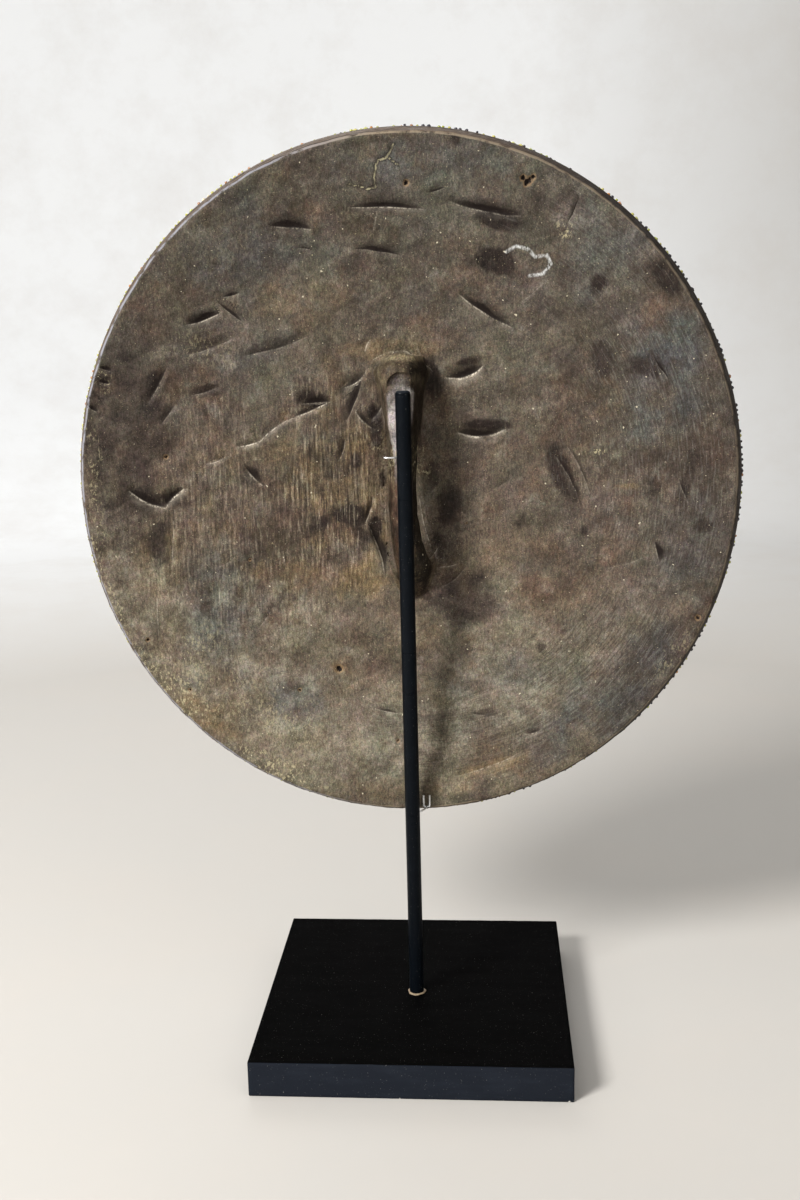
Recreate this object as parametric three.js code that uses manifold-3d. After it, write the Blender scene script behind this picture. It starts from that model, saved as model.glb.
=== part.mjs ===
// A carved wooden shield with glass beads on its front, held from behind by a rod on a square block.
// Millimetres, +Z up. The origin is the middle of the block's underside.
// The grip and the rod are on the -Y side, the beads are on the +Y side.
import * as THREE from "three";
import { mergeVertices } from "three/addons/utils/BufferGeometryUtils.js";
import Module from "manifold-3d";

const wasm = await Module();
wasm.setup();

// Gap left between pieces that touch
const fitGap = 0.3;

// Block
const baseSide = 250;
const baseThickness = 29;
const baseEdgeBevel = 0.8;

// Rod: its axis stands in front of the block's middle and leans a little to the left
const rodDiameter = 12;
const rodTipRound = 2.6;
const rodSetback = 12;
const rodLeanDegrees = 0.35;
const rodSocketDepth = 20;
const rodTopBelowNotch = 14;

// Glue ring round the rod's foot
const sealWidth = 1.6;
const sealHeight = 0.9;

// Board: an oval dish, hollow on the grip side, with a rim that flares towards the front
const boardWidth = 530;
const boardHeight = 547;
const rimAboveBase = 153;
const boardCentreX = -3.3;
const rimDepth = 18;
const rimFlare = 7;
const frontEdgeRound = 0.8;
const dishDepth = 33;
const middleThickness = 17;

// Grip: its ends from the board's middle, its crest's stand behind the rim, and its root in the board
const gripMiddleX = -2;
const gripTop = 104;
const gripBottom = -99;
const gripCrest = 9;
const gripCornerRound = 6;
const gripRoot = 4;

// Finger gap behind the grip: an oval hollow that goes right through sideways
const gripThickness = 12;
const gripUpperFoot = 58;
const gripLowerFoot = 21;
const fingerGapWidth = 78;
const fingerGapBite = 6;

// Shaved flat on the crest where the rod lies
const notchWidth = 21.5;
const notchLength = 54;
const notchBelowTop = 14;
const notchDepth = 3.3;

// Low swelling of rough wood to the left of the grip's upper end
const moundWidth = 56;
const moundLength = 80;
const moundHeight = 6;
const moundLeft = 23;
const moundBelowTop = 44;

// Beadwork on the front
const beadHeight = 3;
const edgeBeadSize = 4.4;
const edgeBeadProud = 2;
const edgeBeadCount = 90;
const outerBandWidth = 44;
const zigzagBandWidth = 84;
const innerBandWidth = 56;
const centreDomeHeight = 6;

// Wire clips
const wireDiameter = 1.8;
const rimClipReach = 7.5;
const rimClipWidth = 5;
const rimClipProngLength = 10;
const gripClipHook = 8;
const gripClipBelowTop = 79;

// Fineness of the round forms
const roundSegments = 72;
const rodSegments = 20;
const wireSegments = 6;

// Places worked out from the sizes above
const boardHalfWidth = boardWidth / 2;
const ovalStretch = boardHeight / boardWidth;
const boardCentreZ = baseThickness + rimAboveBase + boardHeight / 2;
const crestRadius = boardHalfWidth - rimFlare;
const rodRadius = rodDiameter / 2;
const rodLean = THREE.MathUtils.degToRad(rodLeanDegrees);
const wireRadius = wireDiameter / 2;
const gripLength = gripTop - gripBottom;
const notchFloor = -gripCrest + notchDepth;
const notchTop = gripTop - notchBelowTop;
const boardY = -rodSetback + rodRadius + fitGap - notchFloor;
const rodFootZ = baseThickness - rodSocketDepth + fitGap;
const rodTopZ = boardCentreZ + notchTop - rodTopBelowNotch;

// Borders of the beadwork's bands, as radii across the board's width
const bandEdge = boardHalfWidth - edgeBeadSize + edgeBeadProud - 2 * fitGap;
const zigzagEdge = bandEdge - outerBandWidth;
const innerEdge = zigzagEdge - zigzagBandWidth;
const domeEdge = innerEdge - innerBandWidth;
const frontRadii = [0, domeEdge, innerEdge, (innerEdge + zigzagEdge) / 2, zigzagEdge, bandEdge];

// Adze marks on the hollow side: [shares of the half width and half height, length, width, depth, turn]
const adzeMarks = [
  [-0.04, 0.78, 60, 9, 3, -1],
  [0.24, 0.77, 54, 9, 3, -12],
  [-0.32, 0.74, 34, 8, 2.5, -9],
  [-0.07, 0.66, 36, 8, 2.5, -8],
  [0.24, 0.5, 50, 9, 3.5, -33],
  [0.18, 0.32, 34, 12, 4, 10],
  [0.22, 0.14, 40, 14, 4, -5],
  [-0.79, -0.03, 34, 14, 4.5, -29],
  [-0.71, -0.03, 26, 13, 4.5, 49],
  [-0.59, 0.49, 30, 10, 3.5, 19],
  [-0.39, 0.41, 58, 14, 2.5, 15],
  [-0.45, 0.16, 40, 13, 3.5, 28],
  [-0.3, 0.22, 48, 13, 3.5, 19],
  [-0.47, 0.03, 24, 10, 3.5, -41],
  [-0.74, 0.3, 40, 11, 3.5, 59],
  [0.49, -0.01, 62, 12, 2.5, -65],
];
const adzeTipDegrees = 18;

// Grip stations from its bottom to its top: [share of its length, left, right, share of the crest's rise]
const gripStations = [
  [0, -1, 12, 0.02],
  [0.06, -7, 19, 0.24],
  [0.15, -11, 24, 0.52],
  [0.26, -12, 16.5, 0.76],
  [0.41, -13.5, 12, 0.87],
  [0.63, -12.5, 11, 0.91],
  [0.72, -13.5, 12.5, 0.99],
  [0.87, -17, 14.5, 1],
  [0.95, -21.5, 17.5, 0.97],
  [0.985, -18.5, 16.5, 0.86],
  [1, -12.5, 13.5, 0.58],
];

// Height of the hollow side over the rim's crest plane, at a place from the board's middle
function hollowAt(x, z) {
  const across = x / crestRadius;
  const up = z / (crestRadius * ovalStretch);
  return dishDepth * (1 - Math.min(1, across * across + up * up));
}

// Height of the front at a radius across the board's width
function frontAt(radius) {
  const rise = dishDepth + middleThickness - rimDepth;
  const share = radius / boardHalfWidth;
  return rimDepth + rise * (1 - share * share);
}

// The grip at a height from the board's middle: its left and right sides and its crest
function gripAt(z) {
  const share = (z - gripBottom) / gripLength;
  const above = Math.max(1, gripStations.findIndex((station) => station[0] >= share));
  const low = gripStations[above - 1];
  const high = gripStations[above];
  const mix = (share - low[0]) / (high[0] - low[0]);
  const [left, right, rise] = [1, 2, 3].map((i) => low[i] + (high[i] - low[i]) * mix);
  const root = hollowAt(0, z) + gripRoot;
  return { left: left + gripMiddleX, right: right + gripMiddleX, root, crest: root - (gripCrest + root) * rise };
}

// A closed three.js geometry as a solid for joining and cutting
function solidOf(geometry) {
  const bare = geometry.clone();
  bare.deleteAttribute("normal");
  bare.deleteAttribute("uv");
  const merged = mergeVertices(bare, 1e-4);
  return new wasm.Manifold(new wasm.Mesh({
    numProp: 3,
    vertProperties: new Float32Array(merged.attributes.position.array),
    triVerts: new Uint32Array(merged.index.array),
  }));
}

// A solid back as a three.js geometry
function geometryOf(solid) {
  const mesh = solid.getMesh();
  const geometry = new THREE.BufferGeometry();
  geometry.setAttribute("position", new THREE.BufferAttribute(new Float32Array(mesh.vertProperties), 3));
  geometry.setIndex(new THREE.BufferAttribute(new Uint32Array(mesh.triVerts), 1));
  geometry.computeVertexNormals();
  return geometry;
}

// A geometry from points [x, y, z] and triangles
function geometryFrom(points, faces) {
  const geometry = new THREE.BufferGeometry();
  geometry.setAttribute("position", new THREE.Float32BufferAttribute(points.flat(), 3));
  geometry.setIndex(faces);
  return geometry;
}

// The two triangles of each patch between a ring of points and the next
function patchesBetween(start, next, count) {
  const faces = [];
  for (let i = 0; i < count; i += 1) {
    const j = (i + 1) % count;
    faces.push(start + i, start + j, next + j, start + i, next + j, next + i);
  }
  return faces;
}

// A fan of triangles that closes a ring of points round its middle
function fanOver(start, count, centre, flip) {
  const faces = [];
  for (let i = 0; i < count; i += 1) {
    const a = start + i;
    const b = start + (i + 1) % count;
    faces.push(centre, ...(flip ? [b, a] : [a, b]));
  }
  return faces;
}

// A closed skin through rings of points, capped at both ends
function cappedSkin(rings) {
  const count = rings[0].length;
  const last = (rings.length - 1) * count;
  const middleOf = (ring) => [0, 1, 2].map((axis) => ring.reduce((sum, point) => sum + point[axis], 0) / count);
  const points = [...rings.flat(), middleOf(rings[0]), middleOf(rings[rings.length - 1])];
  const faces = rings.slice(1).flatMap((_, ring) => patchesBetween(ring * count, (ring + 1) * count, count));
  faces.push(...fanOver(0, count, points.length - 2, true));
  faces.push(...fanOver(last, count, points.length - 1, false));
  return geometryFrom(points, faces);
}

// A closed skin through rings of points where the last ring joins the first
function loopedSkin(rings) {
  const count = rings[0].length;
  const faces = rings.flatMap((_, ring) => {
    return patchesBetween(ring * count, ((ring + 1) % rings.length) * count, count);
  });
  return geometryFrom(rings.flat(), faces);
}

// An oval turned form about the board's axis, from a profile of [radius, y] points
function ovalForm(profile) {
  const points = profile.map(([radius, y]) => new THREE.Vector2(radius, y));
  const geometry = new THREE.LatheGeometry(points, roundSegments);
  geometry.scale(1, 1, ovalStretch);
  return geometry;
}

// A low-sided ellipsoid with the given full sizes
function eggForm(width, depth, height, around, rings) {
  const geometry = new THREE.SphereGeometry(0.5, around, rings);
  geometry.scale(width, depth, height);
  return geometry;
}

// The board's section, from the middle of the hollow side round the rim to the front's middle
function boardProfile() {
  const profile = [];
  const hollowSteps = 5;
  for (let i = 0; i <= hollowSteps; i += 1) {
    const radius = crestRadius * Math.sin((Math.PI / 2) * (i / hollowSteps));
    profile.push([radius, hollowAt(radius, 0)]);
  }
  profile.push([crestRadius + rimFlare * 0.6, rimDepth * 0.45]);
  profile.push([boardHalfWidth, rimDepth - frontEdgeRound]);
  for (const radius of [...frontRadii].reverse()) {
    profile.push([radius, frontAt(radius)]);
  }
  return profile;
}

// Grip as a skin through its stations, rooted inside the board
function gripForm() {
  return cappedSkin(gripStations.map(([share]) => {
    const z = gripBottom + share * gripLength;
    const { left, right, root, crest } = gripAt(z);
    const round = Math.min(gripCornerRound, (right - left) / 3);
    const shoulder = crest + Math.min(round, (root - crest) / 2);
    const flare = 0.12 * (root - crest);
    const inset = round * 0.35;
    const dip = crest + (shoulder - crest) * 0.35;
    return [
      [left - flare, root, z],
      [left, (shoulder + root) / 2, z],
      [left, shoulder, z],
      [left + inset, dip, z],
      [left + round, crest, z],
      [right - round, crest, z],
      [right - inset, dip, z],
      [right, shoulder, z],
      [right, (shoulder + root) / 2, z],
      [right + flare, root, z],
    ];
  }));
}

// Low swelling beside the grip
function moundForm() {
  const x = gripMiddleX - moundLeft;
  const z = gripTop - moundBelowTop;
  const geometry = eggForm(moundWidth, moundHeight * 3, moundLength, 14, 8);
  geometry.translate(x, hollowAt(x, z) + moundHeight / 2, z);
  return geometry;
}

// Oval hollow that the fingers pass through
function fingerGapForm() {
  const low = gripBottom + gripLowerFoot;
  const high = gripTop - gripUpperFoot;
  const middle = (low + high) / 2;
  const near = gripAt(middle).crest + gripThickness;
  const far = hollowAt(0, middle) + fingerGapBite;
  const geometry = eggForm(fingerGapWidth, far - near, high - low, 24, 12);
  geometry.translate(gripMiddleX, (near + far) / 2, middle);
  return geometry;
}

// Shaved flat for the rod: a slab with a round upper end, from the notch floor outwards
function notchForm() {
  const half = notchWidth / 2;
  const outline = new THREE.Shape();
  outline.moveTo(-half, 0);
  outline.lineTo(half, 0);
  outline.lineTo(half, notchLength - half);
  outline.absarc(0, notchLength - half, half, 0, Math.PI, false);
  const geometry = new THREE.ExtrudeGeometry(outline, { depth: gripCrest * 2, bevelEnabled: false, curveSegments: 8 });
  geometry.rotateX(Math.PI / 2);
  geometry.translate(gripMiddleX, notchFloor, notchTop - notchLength);
  return geometry;
}

// Room for the rod, a little wider than the rod, in the board's own frame
function rodRoomForm(rodPlace) {
  const radius = rodRadius + fitGap;
  const geometry = new THREE.CylinderGeometry(radius, radius, rodTopZ - rodFootZ, rodSegments);
  geometry.rotateX(Math.PI / 2);
  geometry.translate(0, 0, (rodTopZ + rodFootZ) / 2 + fitGap);
  geometry.applyMatrix4(rodPlace);
  geometry.translate(-boardCentreX, -boardY, -boardCentreZ);
  return geometry;
}

// One adze mark: a long flat oval, tipped so that its lower lip is the steeper one
function adzeMarkForm([across, up, length, width, depth, turn]) {
  const x = across * boardHalfWidth;
  const z = up * boardHalfWidth * ovalStretch;
  const geometry = eggForm(length, depth * 2, width, 8, 4);
  geometry.rotateX(-THREE.MathUtils.degToRad(adzeTipDegrees));
  geometry.rotateY(-THREE.MathUtils.degToRad(turn));
  geometry.translate(x, hollowAt(x, z), z);
  return geometry;
}

// Board and grip, carved as one
function shieldBoard(rodPlace) {
  const added = [moundForm(), gripForm()];
  const cut = [fingerGapForm(), notchForm(), rodRoomForm(rodPlace), ...adzeMarks.map(adzeMarkForm)];
  let solid = solidOf(ovalForm(boardProfile()));
  for (const form of added) {
    solid = solid.add(solidOf(form));
  }
  for (const form of cut) {
    solid = solid.subtract(solidOf(form));
  }
  return geometryOf(solid);
}

// One band of beadwork between two radii, lying on the front with rounded borders
function beadBand(innerRadius, outerRadius) {
  const inner = innerRadius + fitGap / 2;
  const outer = outerRadius - fitGap / 2;
  const between = frontRadii.filter((radius) => radius > inner && radius < outer);
  const lift = (radius) => frontAt(radius) + fitGap;
  const border = beadHeight * 0.6;
  const under = [inner, ...between, outer].map((radius) => [radius, lift(radius)]);
  const over = [outer - border, ...between.reverse(), inner + border].map((radius) => {
    return [radius, lift(radius) + beadHeight];
  });
  const outerSide = [outer, lift(outer) + beadHeight / 2];
  const innerSide = [inner, lift(inner) + beadHeight / 2];
  return ovalForm([...under, outerSide, ...over, innerSide, under[0]]);
}

// Domed centre of the beadwork
function centreDome() {
  const steps = 3;
  const outer = domeEdge - fitGap / 2;
  const side = frontAt(domeEdge) + fitGap;
  const profile = [[0, frontAt(0) + fitGap], [outer, side]];
  for (let i = 0; i < steps; i += 1) {
    const turn = (Math.PI / 2) * (i / steps);
    const rise = beadHeight / 2 + (centreDomeHeight - beadHeight / 2) * Math.sin(turn);
    profile.push([outer * Math.cos(turn), side + rise]);
  }
  profile.push([0, side + centreDomeHeight]);
  return ovalForm(profile);
}

// Row of beads round the rim, fused where neighbours touch
function edgeBeadRow() {
  const middleRadius = boardHalfWidth - edgeBeadSize / 2 + edgeBeadProud;
  const middleY = rimDepth - frontEdgeRound + edgeBeadSize / 2 + 2 * fitGap;
  const steps = edgeBeadCount * 2;
  const neckShare = 0.55;
  const corners = [0, 1, 2, 3];
  const rings = Array.from({ length: steps }, (_, i) => {
    const angle = (2 * Math.PI * i) / steps;
    const half = (edgeBeadSize / 2) * (i % 2 === 0 ? 1 : neckShare);
    return corners.map((corner) => {
      const turn = (Math.PI / 2) * corner;
      const radius = middleRadius + half * Math.cos(turn);
      return [radius * Math.cos(angle), middleY + half * Math.sin(turn), radius * Math.sin(angle) * ovalStretch];
    });
  });
  return loopedSkin(rings);
}

// Block with bevelled edges and the rod's blind hole
function baseBlock(rodPlace) {
  const half = baseSide / 2 - baseEdgeBevel;
  const outline = new THREE.Shape();
  outline.moveTo(-half, -half);
  outline.lineTo(half, -half);
  outline.lineTo(half, half);
  outline.lineTo(-half, half);
  outline.closePath();
  const block = new THREE.ExtrudeGeometry(outline, {
    depth: baseThickness - 2 * baseEdgeBevel,
    bevelThickness: baseEdgeBevel,
    bevelSize: baseEdgeBevel,
    bevelSegments: 1,
  });
  block.translate(0, 0, baseEdgeBevel);
  const radius = rodRadius + fitGap;
  const hole = new THREE.CylinderGeometry(radius, radius, rodSocketDepth * 2, rodSegments);
  hole.rotateX(Math.PI / 2);
  hole.translate(0, 0, baseThickness);
  hole.applyMatrix4(rodPlace);
  return geometryOf(solidOf(block).subtract(solidOf(hole)));
}

// A round turned form about the rod's axis, from a profile of [radius, z] points
function rodForm(profile) {
  const geometry = new THREE.LatheGeometry(profile.map(([radius, z]) => new THREE.Vector2(radius, z)), rodSegments);
  geometry.rotateX(Math.PI / 2);
  return geometry;
}

// Straight rod with a rounded tip
function supportRod() {
  const profile = [[0, rodFootZ], [rodRadius, rodFootZ]];
  const tipSteps = 3;
  for (let i = 0; i <= tipSteps; i += 1) {
    const turn = (Math.PI / 2) * (i / tipSteps);
    const radius = rodRadius - rodTipRound * (1 - Math.cos(turn));
    profile.push([radius, rodTopZ - rodTipRound * (1 - Math.sin(turn))]);
  }
  profile.push([0, rodTopZ]);
  return rodForm(profile);
}

// Thin ring of glue round the rod's foot
function footSeal() {
  const inner = rodRadius + fitGap;
  const low = baseThickness + fitGap;
  return rodForm([[inner, low], [inner + sealWidth, low], [inner, low + sealHeight], [inner, low]]);
}

// A bent wire through points, as a round tube
function wireThrough(points, steps) {
  const route = new THREE.CatmullRomCurve3(points.map((point) => new THREE.Vector3(...point)), false, "centripetal");
  const section = new THREE.Shape();
  section.absarc(0, 0, wireRadius, 0, 2 * Math.PI, false);
  return new THREE.ExtrudeGeometry(section, {
    steps,
    extrudePath: route,
    bevelEnabled: false,
    curveSegments: wireSegments / 2,
  });
}

// Sideways place of the rod's axis at a height
function rodXAt(z) {
  return -Math.sin(rodLean) * (z - baseThickness);
}

// Wire from the rod's right side that turns up into a U against the bottom rim
function rimClip() {
  const rimZ = boardCentreZ - crestRadius * ovalStretch;
  const y = boardY - wireRadius - fitGap;
  const start = rodXAt(rimZ) + rodRadius + fitGap;
  const middle = start + rimClipReach - rimClipWidth / 2;
  const left = middle - rimClipWidth / 2;
  const right = middle + rimClipWidth / 2;
  const low = rimZ + wireRadius;
  const high = low + rimClipProngLength;
  const arm = wireThrough([
    [start, -rodSetback, low],
    [start + wireRadius, -rodSetback, low],
    [(start + middle) / 2, (y - rodSetback) / 2, low],
    [middle, y, low],
  ], 6);
  const prongs = wireThrough([
    [left, y, high],
    [left + wireRadius, y, low + wireRadius],
    [middle, y, low],
    [right - wireRadius, y, low + wireRadius],
    [right, y, high],
  ], 10);
  return geometryOf(solidOf(arm).add(solidOf(prongs)));
}

// Wire hook from the rod's left side round the left flank of the grip
function gripClip() {
  const height = gripTop - gripClipBelowTop;
  const z = boardCentreZ + height;
  const y = boardY - gripCrest - wireRadius;
  const start = rodXAt(z) - Math.sqrt(rodRadius ** 2 - (y + rodSetback) ** 2) - fitGap;
  const flank = boardCentreX + gripAt(height).left - wireRadius - 2 * fitGap;
  return wireThrough([
    [start, y, z],
    [start - wireRadius, y, z],
    [(start + flank) / 2, y, z - wireRadius],
    [flank + wireRadius, y + wireRadius / 2, z],
    [flank, y + gripClipHook * 0.4, z],
    [flank, y + gripClipHook, z],
  ], 10);
}

// Finishes
const wood = new THREE.MeshStandardMaterial({ color: 0x5f4f3d, roughness: 0.8, metalness: 0 });
const blackPaint = new THREE.MeshStandardMaterial({ color: 0x0c0d0f, roughness: 0.45, metalness: 0 });
const blackSteel = new THREE.MeshStandardMaterial({ color: 0x0b0e12, roughness: 0.4, metalness: 0.2 });
const brightWire = new THREE.MeshStandardMaterial({ color: 0xc9ccd0, roughness: 0.3, metalness: 1 });
const glue = new THREE.MeshStandardMaterial({ color: 0x6b5a44, roughness: 0.6, metalness: 0 });
const limeBeads = new THREE.MeshStandardMaterial({ color: 0x8f9a3c, roughness: 0.25, metalness: 0 });
const darkBeads = new THREE.MeshStandardMaterial({ color: 0x171a26, roughness: 0.25, metalness: 0 });
const amberBeads = new THREE.MeshStandardMaterial({ color: 0x9c6420, roughness: 0.25, metalness: 0 });
const creamBeads = new THREE.MeshStandardMaterial({ color: 0xd8cfae, roughness: 0.3, metalness: 0 });

// Puts one named piece into a group
function addPiece(group, name, geometry, material) {
  const piece = new THREE.Mesh(geometry, material);
  piece.name = name;
  group.add(piece);
  return piece;
}

// The rod's place: set back from the middle, leaning about the block's top
const rodPlace = new THREE.Matrix4().makeTranslation(0, -rodSetback, baseThickness);
rodPlace.multiply(new THREE.Matrix4().makeRotationY(-rodLean));
rodPlace.multiply(new THREE.Matrix4().makeTranslation(0, 0, -baseThickness));

const model = new THREE.Group();
addPiece(model, "base_block", baseBlock(rodPlace), blackPaint);
addPiece(model, "rim_clip", rimClip(), brightWire);
addPiece(model, "handle_clip", gripClip(), brightWire);

const rodGroup = new THREE.Group();
rodGroup.applyMatrix4(rodPlace);
addPiece(rodGroup, "support_rod", supportRod(), blackSteel);
addPiece(rodGroup, "foot_seal", footSeal(), glue);
model.add(rodGroup);

const shield = new THREE.Group();
shield.position.set(boardCentreX, boardY, boardCentreZ);
addPiece(shield, "shield_board", shieldBoard(rodPlace), wood);
addPiece(shield, "edge_beads", edgeBeadRow(), limeBeads);
addPiece(shield, "outer_band_beads", beadBand(zigzagEdge, bandEdge), darkBeads);
addPiece(shield, "zigzag_band_beads", beadBand(innerEdge, zigzagEdge), amberBeads);
addPiece(shield, "inner_band_beads", beadBand(domeEdge, innerEdge), limeBeads);
addPiece(shield, "centre_beads", centreDome(), creamBeads);
model.add(shield);

export default model;
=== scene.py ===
import math

import bmesh
import bpy
import numpy as np
from mathutils import Matrix, Vector


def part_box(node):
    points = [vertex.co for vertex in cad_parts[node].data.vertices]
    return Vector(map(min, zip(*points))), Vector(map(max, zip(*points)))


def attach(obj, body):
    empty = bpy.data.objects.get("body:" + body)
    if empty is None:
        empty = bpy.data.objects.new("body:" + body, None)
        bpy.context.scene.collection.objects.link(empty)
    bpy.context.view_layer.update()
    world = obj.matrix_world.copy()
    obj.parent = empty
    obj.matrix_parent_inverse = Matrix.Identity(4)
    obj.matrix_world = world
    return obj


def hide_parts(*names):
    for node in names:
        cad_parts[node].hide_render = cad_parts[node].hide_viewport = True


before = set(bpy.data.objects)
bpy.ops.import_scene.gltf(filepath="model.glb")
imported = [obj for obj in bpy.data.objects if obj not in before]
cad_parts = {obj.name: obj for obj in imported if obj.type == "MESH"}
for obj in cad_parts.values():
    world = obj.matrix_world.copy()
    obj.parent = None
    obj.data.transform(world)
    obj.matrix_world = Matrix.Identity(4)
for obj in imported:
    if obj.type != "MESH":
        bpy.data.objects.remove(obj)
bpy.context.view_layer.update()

# Metres in a millimetre, and about how many millimetres a pixel spans on the board
MM, MM_PER_PIXEL = 0.001, 0.8

# Camera at the photograph's viewpoint, and the photograph's own frame in pixels
PHOTO_WIDTH, PHOTO_HEIGHT = 800, 1200
CAMERA_PLACE = (58.8, -1016.4, 575.2)
CAMERA_YAW, CAMERA_PITCH, CAMERA_ROLL = 3.81, -11.67, -1.08
LENS = 38.83
SENSOR = 36.0

# Sizes of the object, the same as its solids have
FIT_GAP = 0.3
BASE_SIDE, BASE_THICKNESS = 250.0, 29.0
ROD_DIAMETER, ROD_SETBACK, ROD_LEAN, ROD_TIP_ROUND = 12.0, 12.0, 0.35, 2.6
BOARD_WIDTH, BOARD_HEIGHT = 530.0, 547.0
BOARD_X, BOARD_Z = -3.3, 455.5
RIM_DEPTH, RIM_FLARE, FRONT_EDGE_ROUND = 18.0, 7.0, 0.8
DISH_DEPTH, MIDDLE_THICKNESS = 33.0, 17.0
GRIP_X, GRIP_TOP, GRIP_BOTTOM = -2.0, 104.0, -99.0
GRIP_CREST, GRIP_ROOT = 9.0, 4.0
GRIP_THICKNESS, GRIP_UPPER_FOOT, GRIP_LOWER_FOOT = 12.0, 58.0, 21.0
FINGER_GAP_WIDTH, FINGER_GAP_BITE = 78.0, 6.0
NOTCH_WIDTH, NOTCH_LENGTH, NOTCH_BELOW_TOP, NOTCH_DEPTH = 21.5, 54.0, 14.0, 3.3
MOUND_X, MOUND_Z, MOUND_WIDTH, MOUND_LENGTH, MOUND_HEIGHT = -25.0, 60.0, 56.0, 80.0, 6.0
EDGE_BEAD, EDGE_BEAD_PROUD, BEAD_HEIGHT = 4.4, 2.0, 3.0
OUTER_BAND, ZIGZAG_BAND, INNER_BAND = 44.0, 84.0, 56.0
WIRE = 1.8

BOARD_ORIGIN = np.array([BOARD_X, 0.0, BOARD_Z])
HALF_WIDTH = BOARD_WIDTH / 2
STRETCH = BOARD_HEIGHT / BOARD_WIDTH
CREST_RADIUS = HALF_WIDTH - RIM_FLARE
ROD_RADIUS = ROD_DIAMETER / 2
NOTCH_TOP = GRIP_TOP - NOTCH_BELOW_TOP
ROD_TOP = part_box("support_rod")[1].z / MM
BAND_EDGE = HALF_WIDTH - EDGE_BEAD + EDGE_BEAD_PROUD - 2 * FIT_GAP
ZIGZAG_EDGE = BAND_EDGE - OUTER_BAND
INNER_EDGE = ZIGZAG_EDGE - ZIGZAG_BAND
DOME_EDGE = INNER_EDGE - INNER_BAND

# Grip stations from its bottom to its top: share of its length, left, right, share of the crest's rise
GRIP_STATIONS = np.array([
    (0, -1, 12, 0.02), (0.06, -7, 19, 0.24), (0.15, -11, 24, 0.52), (0.26, -12, 16.5, 0.76),
    (0.41, -13.5, 12, 0.87), (0.63, -12.5, 11, 0.91), (0.72, -13.5, 12.5, 0.99), (0.87, -17, 14.5, 1),
    (0.95, -21.5, 17.5, 0.97), (0.985, -18.5, 16.5, 0.86), (1, -12.5, 13.5, 0.58),
])

# Fineness of the meshes
BOARD_CELLS = 268
GRIP_RINGS, GRIP_AROUND = 104, 52

# Droop of the grip's top corners, how far the grip reaches, and a height near the rod's end, in mm
GRIP_TOP_ARCH, GRIP_REACH, ROD_END = 5.0, 130.0, 500.0

# Lattice of the noise, and a distance beyond any other
NOISE_TABLE, NOISE_STEPS, NOISE_LAYERS = 4096, (1, 57, 431), 3
FAR = 1e9


def held(values):
    return np.clip(values, 0, 1)


# Even turns round a circle, in radians
def around(count):
    return np.linspace(0, 2 * np.pi, count, endpoint=False)


# Puts data into the scene as an object
def put(name, data):
    obj = bpy.data.objects.new(name, data)
    bpy.context.collection.objects.link(obj)
    return obj


def make_camera():
    data = bpy.data.cameras.new("photo_camera")
    data.lens = LENS
    data.sensor_width = SENSOR
    camera = put("photo_camera", data)
    turn = Matrix.Rotation(math.radians(CAMERA_YAW), 4, "Z")
    turn = turn @ Matrix.Rotation(math.radians(90 + CAMERA_PITCH), 4, "X")
    turn = turn @ Matrix.Rotation(math.radians(CAMERA_ROLL), 4, "Z")
    camera.matrix_world = Matrix.Translation(Vector(CAMERA_PLACE) * MM) @ turn
    bpy.context.scene.camera = camera
    return camera


CAMERA = make_camera()


# Depth of the hollow side behind the rim's crest
def hollow_at(x, z):
    share = (x / CREST_RADIUS) ** 2 + (z / (CREST_RADIUS * STRETCH)) ** 2
    return DISH_DEPTH * (1 - np.minimum(1, share))


# Depth of the domed front behind the rim's crest
def front_at(radius):
    rise = DISH_DEPTH + MIDDLE_THICKNESS - RIM_DEPTH
    return RIM_DEPTH + rise * (1 - (radius / HALF_WIDTH) ** 2)


# Where a pixel of the photograph meets the hollow side, from the board's middle
def place_of(pixel):
    reach = LENS / SENSOR * PHOTO_HEIGHT
    local = Vector((pixel[0] - PHOTO_WIDTH / 2, PHOTO_HEIGHT / 2 - pixel[1], -reach))
    look = CAMERA.matrix_world.to_3x3() @ local
    eye = Vector(CAMERA_PLACE)
    y = DISH_DEPTH / 2
    for _ in range(20):
        hit = eye + look * ((y - eye.y) / look.y)
        y = float(hollow_at(hit.x - BOARD_X, hit.z - BOARD_Z))
    return np.array([hit.x - BOARD_X, hit.z - BOARD_Z])


# Smooth random heights between -1 and 1 on a lattice, repeatable by seed
def noise(points, size, seed):
    points = np.asarray(points, float) / size
    cell = np.floor(points).astype(int)
    part = points - cell
    part = part * part * (3 - 2 * part)
    table = np.random.RandomState(seed).uniform(-1, 1, NOISE_TABLE)
    steps = np.array(NOISE_STEPS)[:points.shape[1]]
    total = np.zeros(len(points))
    for corner in np.ndindex(*(2,) * points.shape[1]):
        weight = np.prod([part[:, i] if c else 1 - part[:, i] for i, c in enumerate(corner)], axis=0)
        total += weight * table[((cell + corner) @ steps) % NOISE_TABLE]
    return total


# Layers of noise, each half as large and half as strong as the one before
def rough(points, size, seed):
    total = np.zeros(len(points))
    for layer in range(NOISE_LAYERS):
        total += noise(points, size / 2 ** layer, seed + layer) / 2 ** layer
    return total / sum(0.5 ** layer for layer in range(NOISE_LAYERS))


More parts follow.
